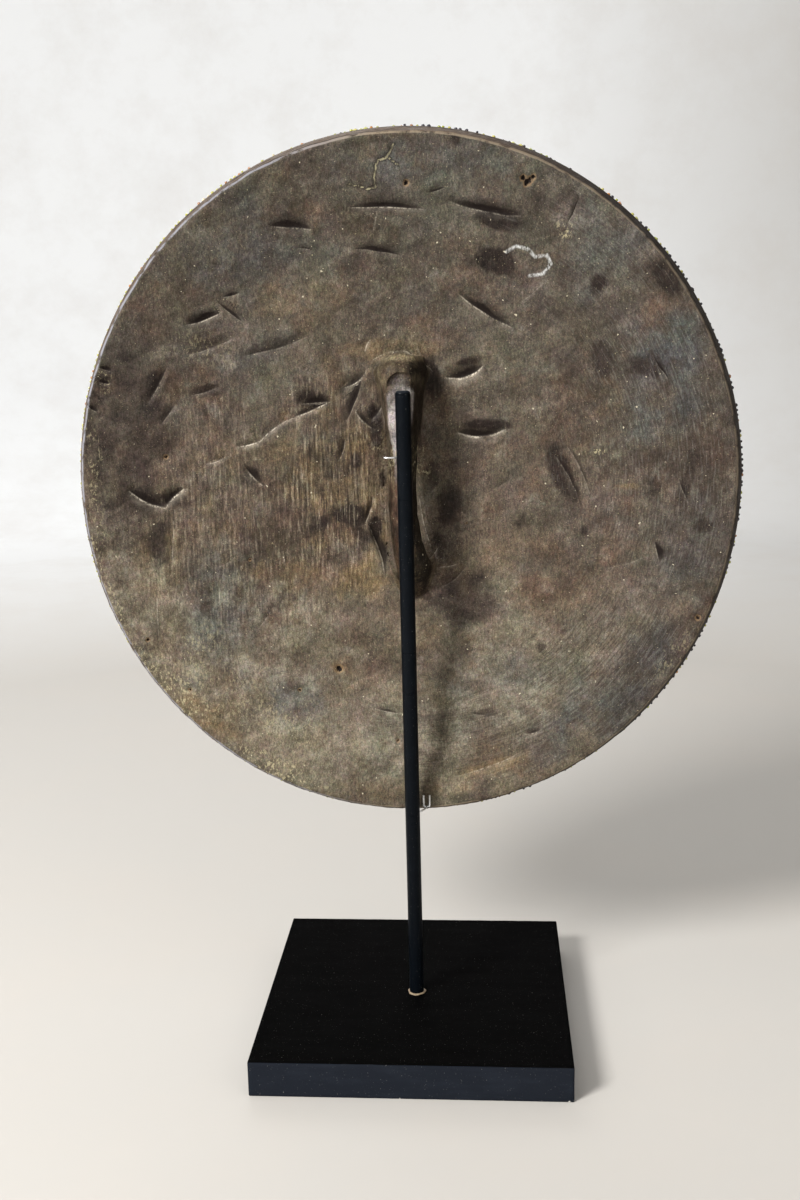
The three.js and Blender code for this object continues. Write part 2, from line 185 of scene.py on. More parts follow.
# Cuts of the adze: start, end and bow in pixels of the photograph, width and depth in mm, dark (painted shade
# with dirt in the groove) and pale (painted highlight on the lower lip)
CUTS = {
    "top_middle": ((347, 207), (427, 209), -1, 7, 2.8, 1.0, 0.5),
    "top_middle_low": ((352, 249), (402, 256), -1, 6, 2.2, 1.0, 0.15),
    "top_small_right": ((424, 193), (447, 186), 1, 4, 1.2, 0.8, 0.1),
    "top_left": ((269, 226), (313, 229), 0, 9, 3.0, 1.0, 0.25),
    "top_left_low": ((296, 249), (314, 250), -1, 4, 1.2, 0.7, 0.2),
    "top_right": ((446, 199), (522, 215), 4, 9, 3.2, 1.0, 0.3),
    "right_diagonal": ((458, 293), (514, 328), 3, 9, 3.4, 1.0, 0.6),
    "right_scoop_high": ((444, 377), (484, 364), 6, 13, 4.0, 1.0, 1.0),
    "right_scoop_low": ((456, 431), (506, 428), 7, 13, 4.2, 1.0, 1.0),
    "left_upper_a": ((185, 325), (222, 312), 2, 8, 3.2, 1.0, 0.5),
    "left_upper_b": ((218, 301), (243, 322), 2, 6, 2.2, 0.9, 0.25),
    "left_upper_c": ((221, 297), (240, 292), 1, 5, 2.0, 0.9, 0.2),
    "left_long_a": ((187, 355), (240, 334), 2, 8, 2.0, 0.5, 0.25),
    "left_long_b": ((240, 356), (312, 334), 3, 9, 2.0, 0.6, 0.15),
    "left_short": ((189, 395), (221, 385), 2, 7, 2.2, 0.6, 0.2),
    "left_steep_a": ((146, 405), (168, 362), 2, 8, 2.6, 0.8, 0.15),
    "left_steep_b": ((160, 425), (175, 404), 1, 7, 2.2, 0.7, 0.1),
    "west_a": ((128, 489), (168, 508), 4, 12, 4.2, 0.9, 1.0),
    "west_b": ((164, 508), (185, 487), -1, 11, 3.8, 0.9, 1.0),
    "ridge_a": ((203, 465), (229, 455), 1, 6, 2.0, 0.15, 0.6),
    "ridge_b": ((236, 446), (262, 439), 2, 8, 2.6, 0.3, 0.9),
    "middle_small": ((243, 463), (266, 486), 3, 11, 3.6, 0.9, 0.6),
    "beside_grip": ((340, 388), (366, 370), 4, 8, 3.0, 0.7, 1.0),
    "right_long_a": ((553, 452), (582, 512), -4, 9, 1.6, 0.6, 0.15),
    "right_long_b": ((562, 440), (592, 500), -4, 8, 1.4, 0.5, 0.1),
    "right_low": ((655, 540), (660, 562), 0, 8, 2.4, 1.0, 0.2),
    "right_edge": ((679, 478), (690, 504), 1, 7, 1.8, 0.6, 0.2),
    "bottom_streak": ((458, 775), (522, 750), 3, 9, 1.2, 0.05, 0.45),
    "bottom_left": ((372, 707), (402, 713), 2, 7, 1.6, 0.6, 0.3),
    "low_middle": ((462, 712), (500, 716), 1, 8, 1.4, 0.5, 0.2),
    "scratch_a": ((174, 510), (171, 578), 0, 3, 0.8, 0.2, 0.6),
    "scratch_b": ((157, 595), (160, 648), 0, 3, 0.7, 0.2, 0.5),
    "scratch_c": ((220, 583), (217, 619), 0, 3, 0.7, 0.2, 0.5),
    "scratch_d": ((237, 658), (243, 690), 0, 3, 0.7, 0.2, 0.5),
    "grip_crack": ((364, 369), (343, 425), 3, 7, 2.2, 0.9, 0.15),
    "grip_ridge": ((368, 522), (386, 577), -3, 10, 2.6, 0.9, 0.5),
    "crescent": ((439, 566), (419, 492), 4, 7, 1.6, 0.2, 0.45),
    "left_dip": ((355, 408), (380, 430), 4, 9, 2.4, 0.8, 0.5),
    "top_ring_left": ((364, 352), (372, 338), -2, 7, 1.6, 0.3, 0.6),
    "top_ring_right": ((418, 345), (428, 362), 2, 7, 1.6, 0.5, 0.5),
    "bottom_knot": ((524, 733), (542, 728), 2, 8, 2.0, 0.7, 0.3),
    "ridge_c": ((260, 440), (294, 417), -2, 8, 2.8, 0.35, 0.9),
    "ridge_d": ((292, 418), (332, 400), 1, 9, 2.8, 0.8, 0.7),
    "left_faint": ((211, 568), (238, 553), 3, 5, 0.9, 0.2, 0.3),
    "pale_drop": ((283, 541), (286, 566), 0, 4, 1.0, 0.6, 0.8),
    "low_slant": ((259, 627), (275, 603), 1, 4, 1.0, 0.5, 0.6),
    "ridge_foot": ((300, 402), (331, 400), 2, 7, 2.4, 1.0, 0.2),
    "top_scratch": ((377, 211), (373, 232), 0, 2.5, 0.6, 0.0, 0.7),
    "right_thin": ((650, 351), (673, 384), 1, 4, 1.4, 0.8, 0.2),
    "upper_right_crack": ((580, 193), (567, 225), 1, 3, 1.2, 0.8, 0.3),
    "under_diagonal": ((518, 303), (545, 281), 1, 4, 0.7, 0.1, 0.2),
    "right_faint": ((484, 494), (514, 474), 2, 4, 0.7, 0.1, 0.2),
    "right_soft": ((602, 568), (650, 554), 2, 8, 0.7, 0.05, 0.15),
    "foot_line": ((430, 568), (459, 563), 1, 4, 1.2, 0.2, 0.7),
    "foot_curve": ((427, 560), (438, 545), 2, 5, 1.4, 0.5, 0.6),
    "foot_sweep": ((432, 590), (470, 560), 5, 9, 1.2, 0.4, 0.12),
    "left_stroke_a": ((345, 436), (338, 462), 2, 6, 1.6, 0.7, 0.3),
    "left_stroke_b": ((372, 496), (362, 526), 3, 8, 2.0, 0.8, 0.4),
    "left_stroke_c": ((384, 400), (366, 424), 3, 8, 2.2, 0.8, 0.4),
    "top_arc_a": ((371, 360), (427, 360), -9, 5, 1.4, 0.3, 0.8),
    "top_arc_b": ((384, 350), (433, 372), -7, 4, 1.2, 0.2, 0.6),
    "bite_a": ((98, 367), (113, 371), 1, 6, 2.6, 1.0, 0.2),
    "bite_b": ((97, 380), (112, 383), 2, 6, 2.6, 1.0, 0.2),
    "bite_c": ((87, 405), (98, 412), 1, 6, 2.6, 1.0, 0.2),
}

# Insect channel and worm holes, in pixels of the photograph
CHANNEL = ((349, 184), (358, 186), (367, 189), (376, 187), (374, 177), (377, 161), (387, 157), (398, 165))
CHANNEL_BRANCH = ((377, 161), (386, 158), (391, 150), (393, 144))
HOLES = {
    (406, 183): 2.2, (523, 178): 2.2, (529, 181): 2.6, (533, 177): 2, (526, 184): 2, (698, 618): 2,
    (166, 457): 1.8, (339, 669): 3, (612, 152): 1.5, (398, 741): 1.4, (466, 523): 1.2, (250, 560): 1.2,
    (300, 690): 1.4, (190, 690): 1.4, (148, 640): 1.6,
}

# A loose curl of chalk that stands for a rubbed mark, in pixels of the photograph
CHALK = ((506, 252), (516, 246), (528, 249), (535, 257), (547, 255), (551, 264), (543, 274), (529, 276))

# Dark stains, and painted shadow where the grip and the rod shade the board: middle in pixels, half length
# and half height in pixels, turn in degrees, strength
STAINS_AND_SHADOWS = {
    "upper_right_band": ((500, 219), 24, 10, 8, 1.0), "chalk_side": ((498, 262), 24, 13, 20, 1.0),
    "right_upper": ((599, 281), 12, 13, 0, 1.0), "right_rim": ((666, 281), 12, 26, -35, 1.0),
    "right_mid_a": ((602, 358), 14, 20, -25, 0.75), "right_mid_b": ((642, 368), 22, 12, 10, 0.7),
    "top_middle": ((455, 139), 8, 9, 0, 0.9), "ridge_side": ((313, 400), 17, 9, 5, 1.0),
    "left_slope": ((160, 385), 10, 30, 25, 0.5), "grip_left_a": ((352, 470), 14, 9, 0, 0.6),
    "grip_left_b": ((376, 425), 6, 12, 0, 0.8), "grip_left_c": ((320, 524), 26, 12, -30, 0.8),
    "grip_low_left": ((365, 535), 20, 8, 20, 0.7), "left_of_grip_line": ((352, 395), 4, 26, 22, 0.7),
    "low_a": ((486, 714), 16, 5, 0, 0.5), "low_b": ((475, 731), 18, 4, 0, 0.5),
    "low_c": ((392, 708), 14, 4, 5, 0.4), "left_low": ((228, 545), 10, 20, 0, 0.35),
    "left_mid": ((250, 480), 10, 14, -40, 0.5), "right_far_a": ((684, 400), 12, 8, 0, 0.35),
    "right_far_b": ((700, 470), 10, 26, 10, 0.35), "right_strokes_a": ((566, 480), 12, 42, -24, 0.8),
    # right_of_grip, grip_shadow, grip_right_a to grip_right_d and grip_foot are painted shadow of the grip
    # and the rod, not stains
    "right_strokes_b": ((583, 532), 11, 12, 0, 0.75), "right_of_grip": ((455, 470), 18, 60, 0, 0.3),
    "grip_shadow": ((445, 550), 16, 22, 10, 0.45), "left_upper_dark": ((205, 318), 22, 8, -15, 0.5),
    "left_streaks": ((270, 345), 38, 8, -17, 0.45), "slit_left": ((290, 226), 22, 6, 6, 0.7),
    "slit_middle": ((388, 209), 40, 4, 0, 0.6), "left_edge_a": ((110, 430), 10, 40, 10, 0.35),
    "right_patch": ((610, 400), 30, 22, 30, 0.3), "low_right": ((560, 655), 40, 10, -10, 0.3),
    "west": ((158, 500), 30, 11, 0, 0.75), "grip_blot_a": ((346, 516), 24, 12, 12, 1.0),
    "grip_blot_b": ((375, 528), 8, 16, 0, 1.0), "grip_blot_c": ((356, 462), 10, 12, 0, 0.9),
    "grip_blot_d": ((377, 440), 5, 9, 0, 1.0), "grip_blot_e": ((372, 412), 5, 7, 0, 1.0),
    "grip_blot_f": ((382, 478), 6, 14, 0, 0.8), "grip_right_a": ((447, 506), 13, 22, 14, 0.8),
    "grip_right_b": ((434, 470), 8, 20, 10, 0.55), "grip_right_c": ((439, 547), 8, 20, -10, 0.65),
    "grip_right_d": ((432, 380), 12, 26, -10, 0.8), "grip_foot": ((420, 592), 16, 8, 20, 0.9),
    "left_hollow_low": ((340, 448), 6, 20, 10, 0.5), "over_scoop_a": ((466, 362), 20, 6, -12, 0.8),
    "over_scoop_b": ((485, 424), 26, 6, 0, 0.8), "far_left_a": ((210, 390), 18, 8, 0, 0.6),
    "far_left_b": ((150, 385), 9, 26, 26, 0.7), "west_high": ((150, 470), 22, 14, 0, 0.35),
    "left_tall": ((157, 545), 10, 26, 0, 0.7), "right_far_c": ((655, 487), 13, 18, 0, 0.65),
    "right_far_d": ((685, 485), 8, 20, 30, 0.7), "right_far_e": ((703, 526), 9, 7, 0, 0.8),
    "right_mid_c": ((522, 521), 9, 9, 0, 0.6), "low_right_b": ((541, 648), 9, 9, 0, 0.65),
    "low_right_c": ((640, 690), 46, 14, -42, 0.35), "bite_stain": ((104, 375), 9, 12, 0, 0.8),
}

# Ochre patches, the same way
OCHRE = {
    "below_grip": ((365, 582), 34, 24, 10, 0.8), "below_grip_left": ((300, 575), 30, 14, 0, 0.5),
    "left_low_rim": ((205, 715), 46, 16, 30, 0.6), "left_low": ((250, 700), 60, 30, 20, 0.35),
    "grip_side": ((395, 575), 16, 10, 40, 0.6), "right_of_end": ((455, 575), 26, 18, 30, 0.5),
    "yellow_spot": ((627, 486), 16, 3, 0, 0.6), "left_grain": ((340, 480), 55, 70, 0, 0.7),
    "grip_top_ring": ((395, 350), 46, 12, 0, 0.6), "ridge_left": ((375, 555), 12, 34, 18, 0.9),
    "right_warm": ((600, 400), 24, 26, 0, 0.5), "right_warm_low": ((520, 560), 60, 30, 0, 0.15),
    "upper_left_warm": ((300, 300), 60, 30, -20, 0.25), "west_warm": ((160, 560), 30, 50, 0, 0.3),
    "knot_ring": ((336, 664), 12, 5, -30, 0.6), "bottom_streaks": ((492, 766), 40, 8, -18, 0.6),
    "ridge_glow": ((280, 450), 30, 20, -20, 0.3), "bottom_warm": ((400, 790), 120, 10, 0, 0.35),
    "top_warm": ((430, 130), 120, 6, 0, 0.4), "bites": ((106, 376), 8, 16, 0, 0.9),
    "knot": ((340, 669), 9, 8, 0, 1.0),
}

# Pale flakes and specks of dirt, the same way
FLAKES = {
    "low_left_rim": ((165, 690), 70, 22, 40, 0.9), "low_left_edge": ((108, 600), 12, 70, -15, 0.7),
    "bottom_left_rim": ((270, 765), 70, 18, 22, 0.8), "left_rim": ((95, 500), 8, 70, 0, 0.45),
    "left_inside": ((190, 660), 50, 40, 30, 0.45), "low_middle": ((280, 720), 70, 30, 20, 0.5),
    "upper_left": ((200, 260), 60, 50, -40, 0.08), "left": ((205, 350), 30, 20, 0, 0.3),
    "grip_side": ((400, 460), 26, 20, 0, 0.6), "grip_top": ((400, 350), 36, 9, 0, 0.22),
    "by_grip_a": ((421, 449), 7, 2.5, 0, 1.0), "by_grip_b": ((421, 473), 7, 2.5, 0, 0.9),
    "by_clip": ((377, 449), 9, 6, 0, 0.8), "star": ((600, 451), 9, 5, 0, 1.0),
    "upper_right_specks": ((565, 233), 9, 8, 0, 0.9), "right_rim_low": ((690, 640), 10, 60, 40, 0.35),
    "bites": ((104, 376), 7, 14, 0, 0.5),
}

# Broad darkened zones, the same way: partly painted shade, where the dish's left side turns away from the
# window and beside and below the grip where its and the rod's shadow falls, partly darker wood towards the
# rim
SHADE_AND_DARK_ZONES = {
    "mid_left": ((125, 440), 48, 115, 0, 1.0), "upper_left": ((220, 260), 110, 60, -35, 0.3),
    "right": ((705, 470), 34, 160, 4, 0.55), "low_right_rim": ((650, 670), 95, 34, -50, 0.7),
    "right_of_end": ((462, 596), 36, 34, 0, 1.0), "right_of_grip": ((450, 500), 22, 80, 0, 0.35),
    "upper_middle": ((410, 280), 90, 50, 0, 0.2), "left_of_grip": ((350, 440), 36, 70, 0, 0.3),
    "purple_right": ((600, 370), 70, 40, 10, 0.25), "low_bottom": ((430, 720), 60, 14, 0, 0.2),
    "low_left": ((230, 590), 60, 24, 10, 0.25), "rim_top": ((430, 140), 120, 10, 0, 0.3),
    "upper_right": ((590, 230), 90, 70, 30, 0.42), "low_left_rim": ((250, 770), 90, 16, 24, 0.4),
    "bottom": ((400, 798), 120, 8, 0, 0.4),
}

# Upright brushed grain, the same way
BRUSHED = {
    "left_of_grip": ((335, 490), 60, 110, 0, 1.0), "left": ((225, 520), 110, 120, 0, 0.55),
}

# Brush lines that run round the board, the same way
ARCS = {
    "right": ((650, 430), 90, 170, 0, 0.9), "low_right": ((600, 660), 120, 70, -35, 1.0),
    "upper_right": ((600, 260), 80, 70, 35, 0.6), "low": ((470, 740), 120, 40, 0, 0.7),
}

# Cooler, bluish grime, the same way
BLUISH = {
    "upper_right_a": ((600, 250), 50, 40, 30, 0.9), "upper_right_b": ((665, 370), 40, 70, 20, 0.8),
    "upper_left": ((240, 250), 60, 40, -30, 0.5), "top": ((440, 160), 70, 20, 0, 0.5),
    "left_low": ((220, 620), 50, 70, 0, 0.9), "left_mid": ((230, 340), 60, 40, 0, 0.4),
    "right_low": ((690, 560), 30, 60, 0, 0.5), "low_a": ((500, 670), 70, 26, 0, 0.6),
    "low_right": ((610, 690), 90, 36, -38, 0.9), "low_b": ((280, 700), 60, 30, 20, 0.7),
}

# Dust, the same way
DUST = {
    "lower_left": ((240, 640), 120, 80, 30, 0.5), "low_middle": ((370, 735), 130, 44, 0, 0.6),
    "low_right": ((530, 690), 90, 46, -30, 0.42), "left_mid": ((130, 560), 50, 90, 0, 0.45),
    "upper_right": ((600, 240), 70, 60, 30, 0.2), "below_middle": ((480, 640), 90, 50, 0, 0.3),
}


# Signed distance below a bowed line and the share of the way along it
def along(points, start, end, bow):
    start, end = place_of(start), place_of(end)
    way = end - start
    length = float(np.hypot(*way))
    way /= length
    down = np.array([way[1], -way[0]])
    if down[1] > 0:
        down = -down
    rel = points - start
    share = rel @ way / length
    curve = bow * MM_PER_PIXEL * 4 * held(share) * (1 - held(share))
    return rel @ down - curve, share, length


# Soft fade that is 1 in the middle of a cut and 0 at its ends
def fade(share):
    inside = held(share)
    return np.where((share > 0) & (share < 1), np.sin(np.pi * inside) ** 0.6, 0)


# Carved depth of the cuts, and for the nearest cut how far below it a place is, its painted shade with dirt
# and its painted highlight
def cut_marks(points):
    depth, dark, pale = (np.zeros(len(points)) for _ in range(3))
    nearest = np.full(len(points), FAR)
    gap = np.full(len(points), 20.0)
    wobble = 0.5 * noise(points, 9, 5)
    for start, end, bow, width, deep, dark_share, pale_share in CUTS.values():
        below, share, _ = along(points, start, end, bow)
        below = below + wobble
        ends = fade(share)
        ramp = held((below + width) / width) ** 1.6
        wall = held(1 - below / (0.28 * width))
        depth = np.maximum(depth, deep * ends * np.where(below < 0, ramp, wall))
        depth -= 0.3 * pale_share * ends * np.exp(-((below - 0.42 * width) / (0.2 * width)) ** 2)
        worth = np.abs(below) - 5 * ends + 40 * (ends == 0)
        closer = worth < nearest
        nearest = np.where(closer, worth, nearest)
        gap = np.where(closer, np.clip(below / width * 8, -20, 20), gap)
        dark = np.where(closer, dark_share * ends, dark)
        pale = np.where(closer, pale_share * ends, pale)
    return depth, gap, dark, pale


# Distance from a line through several places
def near_line(points, pixels):
    places = [place_of(pixel) for pixel in pixels]
    nearest = np.full(len(points), FAR)
    for start, end in zip(places, places[1:]):
        way = end - start
        share = held((points - start) @ way / (way @ way))
        gap = points - (start + share[:, None] * way)
        nearest = np.minimum(nearest, np.hypot(gap[:, 0], gap[:, 1]))
    return nearest


# How strongly each place lies in a group of oval patches
def patches(points, group):
    total = np.zeros(len(points))
    ragged = 0.6 * rough(points, 20, 31)
    for middle, half_length, half_height, turn, strength in group.values():
        rel = points - place_of(middle)
        c, s = math.cos(math.radians(turn)), math.sin(math.radians(turn))
        across = (rel[:, 0] * c - rel[:, 1] * s) / (half_length * MM_PER_PIXEL)
        up = (rel[:, 0] * s + rel[:, 1] * c) / (half_height * MM_PER_PIXEL)
        total = np.maximum(total, strength * held(1.6 * (1.2 + ragged - np.hypot(across, up))))
    return total


# Height of the low mound beside the grip
def mound_at(points):
    across = (points[:, 0] - MOUND_X) / (MOUND_WIDTH / 2)
    up = (points[:, 1] - MOUND_Z) / (MOUND_LENGTH / 2)
    return MOUND_HEIGHT * held(1 - across ** 2 - up ** 2) ** 1.3


# The oval hollow behind the grip: its middle and half sizes along x, y and z
def finger_gap():
    low, high = GRIP_BOTTOM + GRIP_LOWER_FOOT, GRIP_TOP - GRIP_UPPER_FOOT
    middle = (low + high) / 2
    near = grip_at(np.array([middle]))[3][0] + GRIP_THICKNESS
    far = float(hollow_at(0, middle)) + FINGER_GAP_BITE
    place = np.array([GRIP_X, (near + far) / 2, middle])
    return place, np.array([FINGER_GAP_WIDTH, far - near, high - low]) / 2


# The grip at heights from the board's middle: left, right, root and crest
def grip_at(z):
    share = (z - GRIP_BOTTOM) / (GRIP_TOP - GRIP_BOTTOM)
    left, right, rise = (np.interp(share, GRIP_STATIONS[:, 0], GRIP_STATIONS[:, i]) for i in (1, 2, 3))
    root = hollow_at(0, z) + GRIP_ROOT
    return left + GRIP_X, right + GRIP_X, root, root - (GRIP_CREST + root) * rise


# Mesh object from points in mm round an origin in mm
def mesh_object(name, points, faces, origin=(0, 0, 0)):
    mesh = bpy.data.meshes.new(name)
    mesh.from_pydata(((np.asarray(points) + origin) * MM).tolist(), [], [list(map(int, f)) for f in faces])
    mesh.validate()
    mesh.polygons.foreach_set("use_smooth", [True] * len(mesh.polygons))
    return put(name, mesh)


# Four-sided faces between the numbered points of a grid
def quads(index):
    corners = [index[:-1, :-1], index[:-1, 1:], index[1:, 1:], index[1:, :-1]]
    return np.stack(corners, -1).reshape(-1, 4)


# A square grid bent into a disc of radius 1, and its border in order
def disc_grid(cells):
    line = np.linspace(-1, 1, cells + 1)
    a, b = np.meshgrid(line, line)
    wide = np.abs(a) >= np.abs(b)
    with np.errstate(divide="ignore", invalid="ignore"):
        turn = np.where(wide, np.pi / 4 * b / a, np.pi / 2 - np.pi / 4 * a / b)
    turn = np.nan_to_num(turn)
    radius = np.where(wide, a, b)
    grid = np.stack([radius * np.cos(turn), radius * np.sin(turn)], -1).reshape(-1, 2)
    index = np.arange((cells + 1) ** 2).reshape(cells + 1, cells + 1)
    border = np.concatenate([index[0, :-1], index[:-1, -1], index[-1, :0:-1], index[:0:-1, 0]])
    return grid, quads(index), border


# Section of the rim and front outside the crest: radius and y
def rim_profile():
    crest, edge = CREST_RADIUS, HALF_WIDTH
    flare = []
    for s in np.linspace(0.12, 0.97, 8):
        flare.append((crest + RIM_FLARE * s ** 0.85 * 0.97 + 0.3, RIM_DEPTH * 0.95 * s ** 1.15))
    edge_round = [(edge - 0.1, RIM_DEPTH - FRONT_EDGE_ROUND - 0.2), (edge - 0.8, RIM_DEPTH - 0.1)]
    front = [(radius, front_at(radius)) for radius in (BAND_EDGE, ZIGZAG_EDGE, INNER_EDGE, DOME_EDGE)]
    return flare + edge_round + front


# The board without its grip
def plain_board():
    grid, faces, border = disc_grid(BOARD_CELLS)
    x, z = grid[:, 0] * CREST_RADIUS, grid[:, 1] * CREST_RADIUS * STRETCH
    y = hollow_at(x, z)
    places = np.stack([x, z], 1)
    y -= mound_at(places)
    middle, half = finger_gap()
    inside = 1 - ((x - middle[0]) / half[0]) ** 2 - ((z - middle[2]) / half[2]) ** 2
    y = np.maximum(y, middle[1] + half[1] * np.sqrt(np.maximum(inside, 0)) - 1e3 * (inside <= 0))
    points = [np.stack([x, y, z], 1)]
    ring = grid[border]
    faces = [list(f) for f in faces]
    previous = border
    start = len(grid)
    for radius, height in rim_profile():
        level = np.full(len(ring), height)
        points.append(np.stack([ring[:, 0] * radius, level, ring[:, 1] * radius * STRETCH], 1))
        current = np.arange(start, start + len(ring))
        skirt = np.stack([np.roll(previous, -1), previous, current, np.roll(current, -1)], 1)
        faces += [list(f) for f in skirt]
        previous = current
        start += len(ring)
    points.append(np.array([[0, front_at(0), 0]]))
    faces += [[int(b), int(a), start] for a, b in zip(previous, np.roll(previous, -1))]
    board = mesh_object("carved_board", np.concatenate(points), faces, BOARD_ORIGIN)
    face_out(board)
    return board


# Makes every face of a closed mesh point outwards
def face_out(obj):
    mesh = bmesh.new()
    mesh.from_mesh(obj.data)
    bmesh.ops.recalc_face_normals(mesh, faces=mesh.faces)
    mesh.to_mesh(obj.data)
    mesh.free()


# Level ring of points round a middle, with one radius or another one along y
def ring_at(turns, radius, middle, radius_y=None):
    x, y, z = middle
    deep = radius if radius_y is None else radius_y
    return np.stack([x + radius * np.cos(turns), y + deep * np.sin(turns), np.full(len(turns), z)], 1)


# Skin through rings of the same count, closed by a fan at its start and, unless open, at its end
def ring_skin(name, rings, origin=(0, 0, 0), open_end=False):
    count = len(rings[0])
    points = list(np.concatenate(rings))
    faces = []
    for r in range(len(rings) - 1):
        for i in range(count):
            j = (i + 1) % count
            faces.append((r * count + i, r * count + j, (r + 1) * count + j, (r + 1) * count + i))
    ends = [(0, True)] if open_end else [(0, True), (len(rings) - 1, False)]
    for ring, flip in ends:
        points.append(np.mean(rings[ring], axis=0))
        for i in range(count):
            a, b = ring * count + i, ring * count + (i + 1) % count
            faces.append((len(points) - 1, b, a) if flip else (len(points) - 1, a, b))
    skin = mesh_object(name, np.array(points), faces, origin)
    if not open_end:
        face_out(skin)
    return skin


# Value to a power below one with its sign kept, which squares a round section
def squared(value):
    return np.sign(value) * np.abs(value) ** (2 / 3.0)


# Running mean over seven stations
def evened(values):
    return np.convolve(np.pad(values, 3, mode="edge"), np.ones(7) / 7, "valid")


# The grip with its crest, its rounded corners and its foot inside the board
def plain_grip():
    share = np.linspace(0, 1, GRIP_RINGS)
    z = GRIP_BOTTOM + share * (GRIP_TOP - GRIP_BOTTOM)
    left, right, root, crest = grip_at(z)
    left, right, crest = (evened(values) for values in (left, right, crest))
    turns = around(GRIP_AROUND)
    c, s = np.cos(turns), np.sin(turns)
    rings = []
    for k in range(GRIP_RINGS):
        half, middle = (right[k] - left[k]) / 2, (right[k] + left[k]) / 2
        depth = np.where(s > 0, root[k] - crest[k], 4.0)
        height = held(squared(s))
        flare = 1 + 0.3 * (1 - height) ** 3
        x = middle + half * squared(c) * flare
        y = root[k] - depth * squared(s)
        drop = GRIP_TOP_ARCH * held((share[k] - 0.85) / 0.15) * ((x - middle) / half) ** 2
        rings.append(np.stack([x, y, z[k] - np.minimum(drop, 2 * GRIP_TOP_ARCH)], 1))
    centre = rings[-1].mean(0)
    for shrink, lift in ((0.985, 1.0), (0.94, 1.9), (0.85, 2.4)):
        rings.append(centre + (rings[GRIP_RINGS - 1] - centre) * [shrink, shrink, 0] + [0, 0, lift - 0.6])
    return ring_skin("grip", rings, BOARD_ORIGIN)


# Dense ellipsoid, from its middle and half sizes
def egg(name, middle, half):
    turns = around(72)
    rings = []
    for lift in np.linspace(-np.pi / 2 + 0.03, np.pi / 2 - 0.03, 48):
        r = math.cos(lift)
        place = (middle[0], middle[1], middle[2] + half[2] * math.sin(lift))
        rings.append(ring_at(turns, half[0] * r, place, half[1] * r))
    return ring_skin(name, rings, BOARD_ORIGIN)


# Slab with a round upper end that shaves the crest flat
def notch_cutter():
    half = NOTCH_WIDTH / 2
    floor = -GRIP_CREST + NOTCH_DEPTH
    low = NOTCH_TOP - NOTCH_LENGTH
    top, turns = NOTCH_TOP - half, np.linspace(0, np.pi, 25)
    arc = [(GRIP_X + half * math.cos(t), top + half * math.sin(t)) for t in turns]
    outline = arc + [(GRIP_X - half, low), (GRIP_X + half, low)]
    rings = [np.array([(x, y, z) for x, z in outline]) for y in (floor, -GRIP_CREST * 3)]
    return ring_skin("notch_cutter", rings, BOARD_ORIGIN)


# Where the rod's axis is at a height, sideways
def rod_x(z):
    return -math.sin(math.radians(ROD_LEAN)) * (z - BASE_THICKNESS)


# Round column along the rod's axis
def rod_column(name, radius, low, high, sides=48, round_top=0.0):
    turns = around(sides)
    stops = [(radius, low), (radius, low + 0.4)]
    stops += [(radius, z) for z in np.linspace(low + 20, high - round_top, 12)]
    for t in np.linspace(0, np.pi / 2, 8)[1:]:
        stops.append((radius - round_top * (1 - math.cos(t)), high - round_top * (1 - math.sin(t))))
    if round_top:
        stops.append((radius * 0.3, high + 0.05))
    return ring_skin(name, [ring_at(turns, r, (rod_x(z), -ROD_SETBACK, z)) for r, z in stops])


# Joins or cuts one mesh by another and removes the tool
def boolean(obj, tool, operation):
    step = obj.modifiers.new("cut", "BOOLEAN")
    step.operation = operation
    step.solver = "EXACT"
    step.object = tool
    with bpy.context.temp_override(object=obj, active_object=obj, selected_objects=[obj]):
        bpy.ops.object.modifier_apply(modifier=step.name)
    bpy.data.objects.remove(tool, do_unlink=True)


# Points and normals of a mesh as arrays in mm from the board's middle
def mesh_arrays(obj):
    count = len(obj.data.vertices)
    points = np.empty(count * 3)
    normals = np.empty(count * 3)
    obj.data.vertices.foreach_get("co", points)
    obj.data.vertex_normals.foreach_get("vector", normals)
    return points.reshape(-1, 3) / MM - BOARD_ORIGIN, normals.reshape(-1, 3)


# Stores numbers on the mesh's points as a colour attribute
def paint(obj, name, *shares):
    layer = obj.data.attributes.new(name, "FLOAT_COLOR", "POINT")
    values = np.ones((len(obj.data.vertices), 4))
    for i, share in enumerate(shares):
        values[:, i] = held(share)
    layer.data.foreach_set("color", values.ravel())


# Share of belonging to the grip, 1 on it and 0 on the board
def grip_share(points):
    left, right, _, _ = grip_at(np.clip(points[:, 2], GRIP_BOTTOM, GRIP_TOP))
    spread = np.maximum(left - 3 - points[:, 0], points[:, 0] - right - 3)
    beyond = np.maximum(GRIP_BOTTOM - 4 - points[:, 2], points[:, 2] - GRIP_TOP - 4)
    sunk = points[:, 1] - hollow_at(points[:, 0], points[:, 2]) + mound_at(points[:, [0, 2]]) + 1.5
    return held(1 - np.maximum.reduce([spread / 3, beyond / 3, sunk / 2]))


# Waves and shallow facets that the adze leaves over the hollow side
def hollow_relief(places):
    waves = 0.9 * rough(places, 85, 11) + 0.45 * rough(places, 24, 17) + 0.2 * rough(places, 7, 23)
    return waves + 0.6 * np.abs(noise(places * [1, 0.6], 30, 41))


# Wear, upright grain and carved facets of the grip
def grip_relief(points):
    grain = points * [1.0, 1.0, 0.22]
    worn = 0.9 * rough(points, 22, 51) + 0.6 * rough(grain, 6, 57) + 0.3 * rough(points, 4, 59)
    return worn + 1.6 * np.abs(noise(points * [1, 1, 0.6], 13, 83)) - 0.5


# Depth of the worm holes, and how many of its own radii away the nearest hole is
def hole_marks(places):
    depth, nearest = np.zeros(len(places)), np.full(len(places), 9.0)
    for pixel, size in HOLES.items():
        gap = np.hypot(*(places - place_of(pixel)).T) / size
        depth += 3.2 * np.exp(-gap ** 4)
        nearest = np.minimum(nearest, gap)
    return depth, nearest


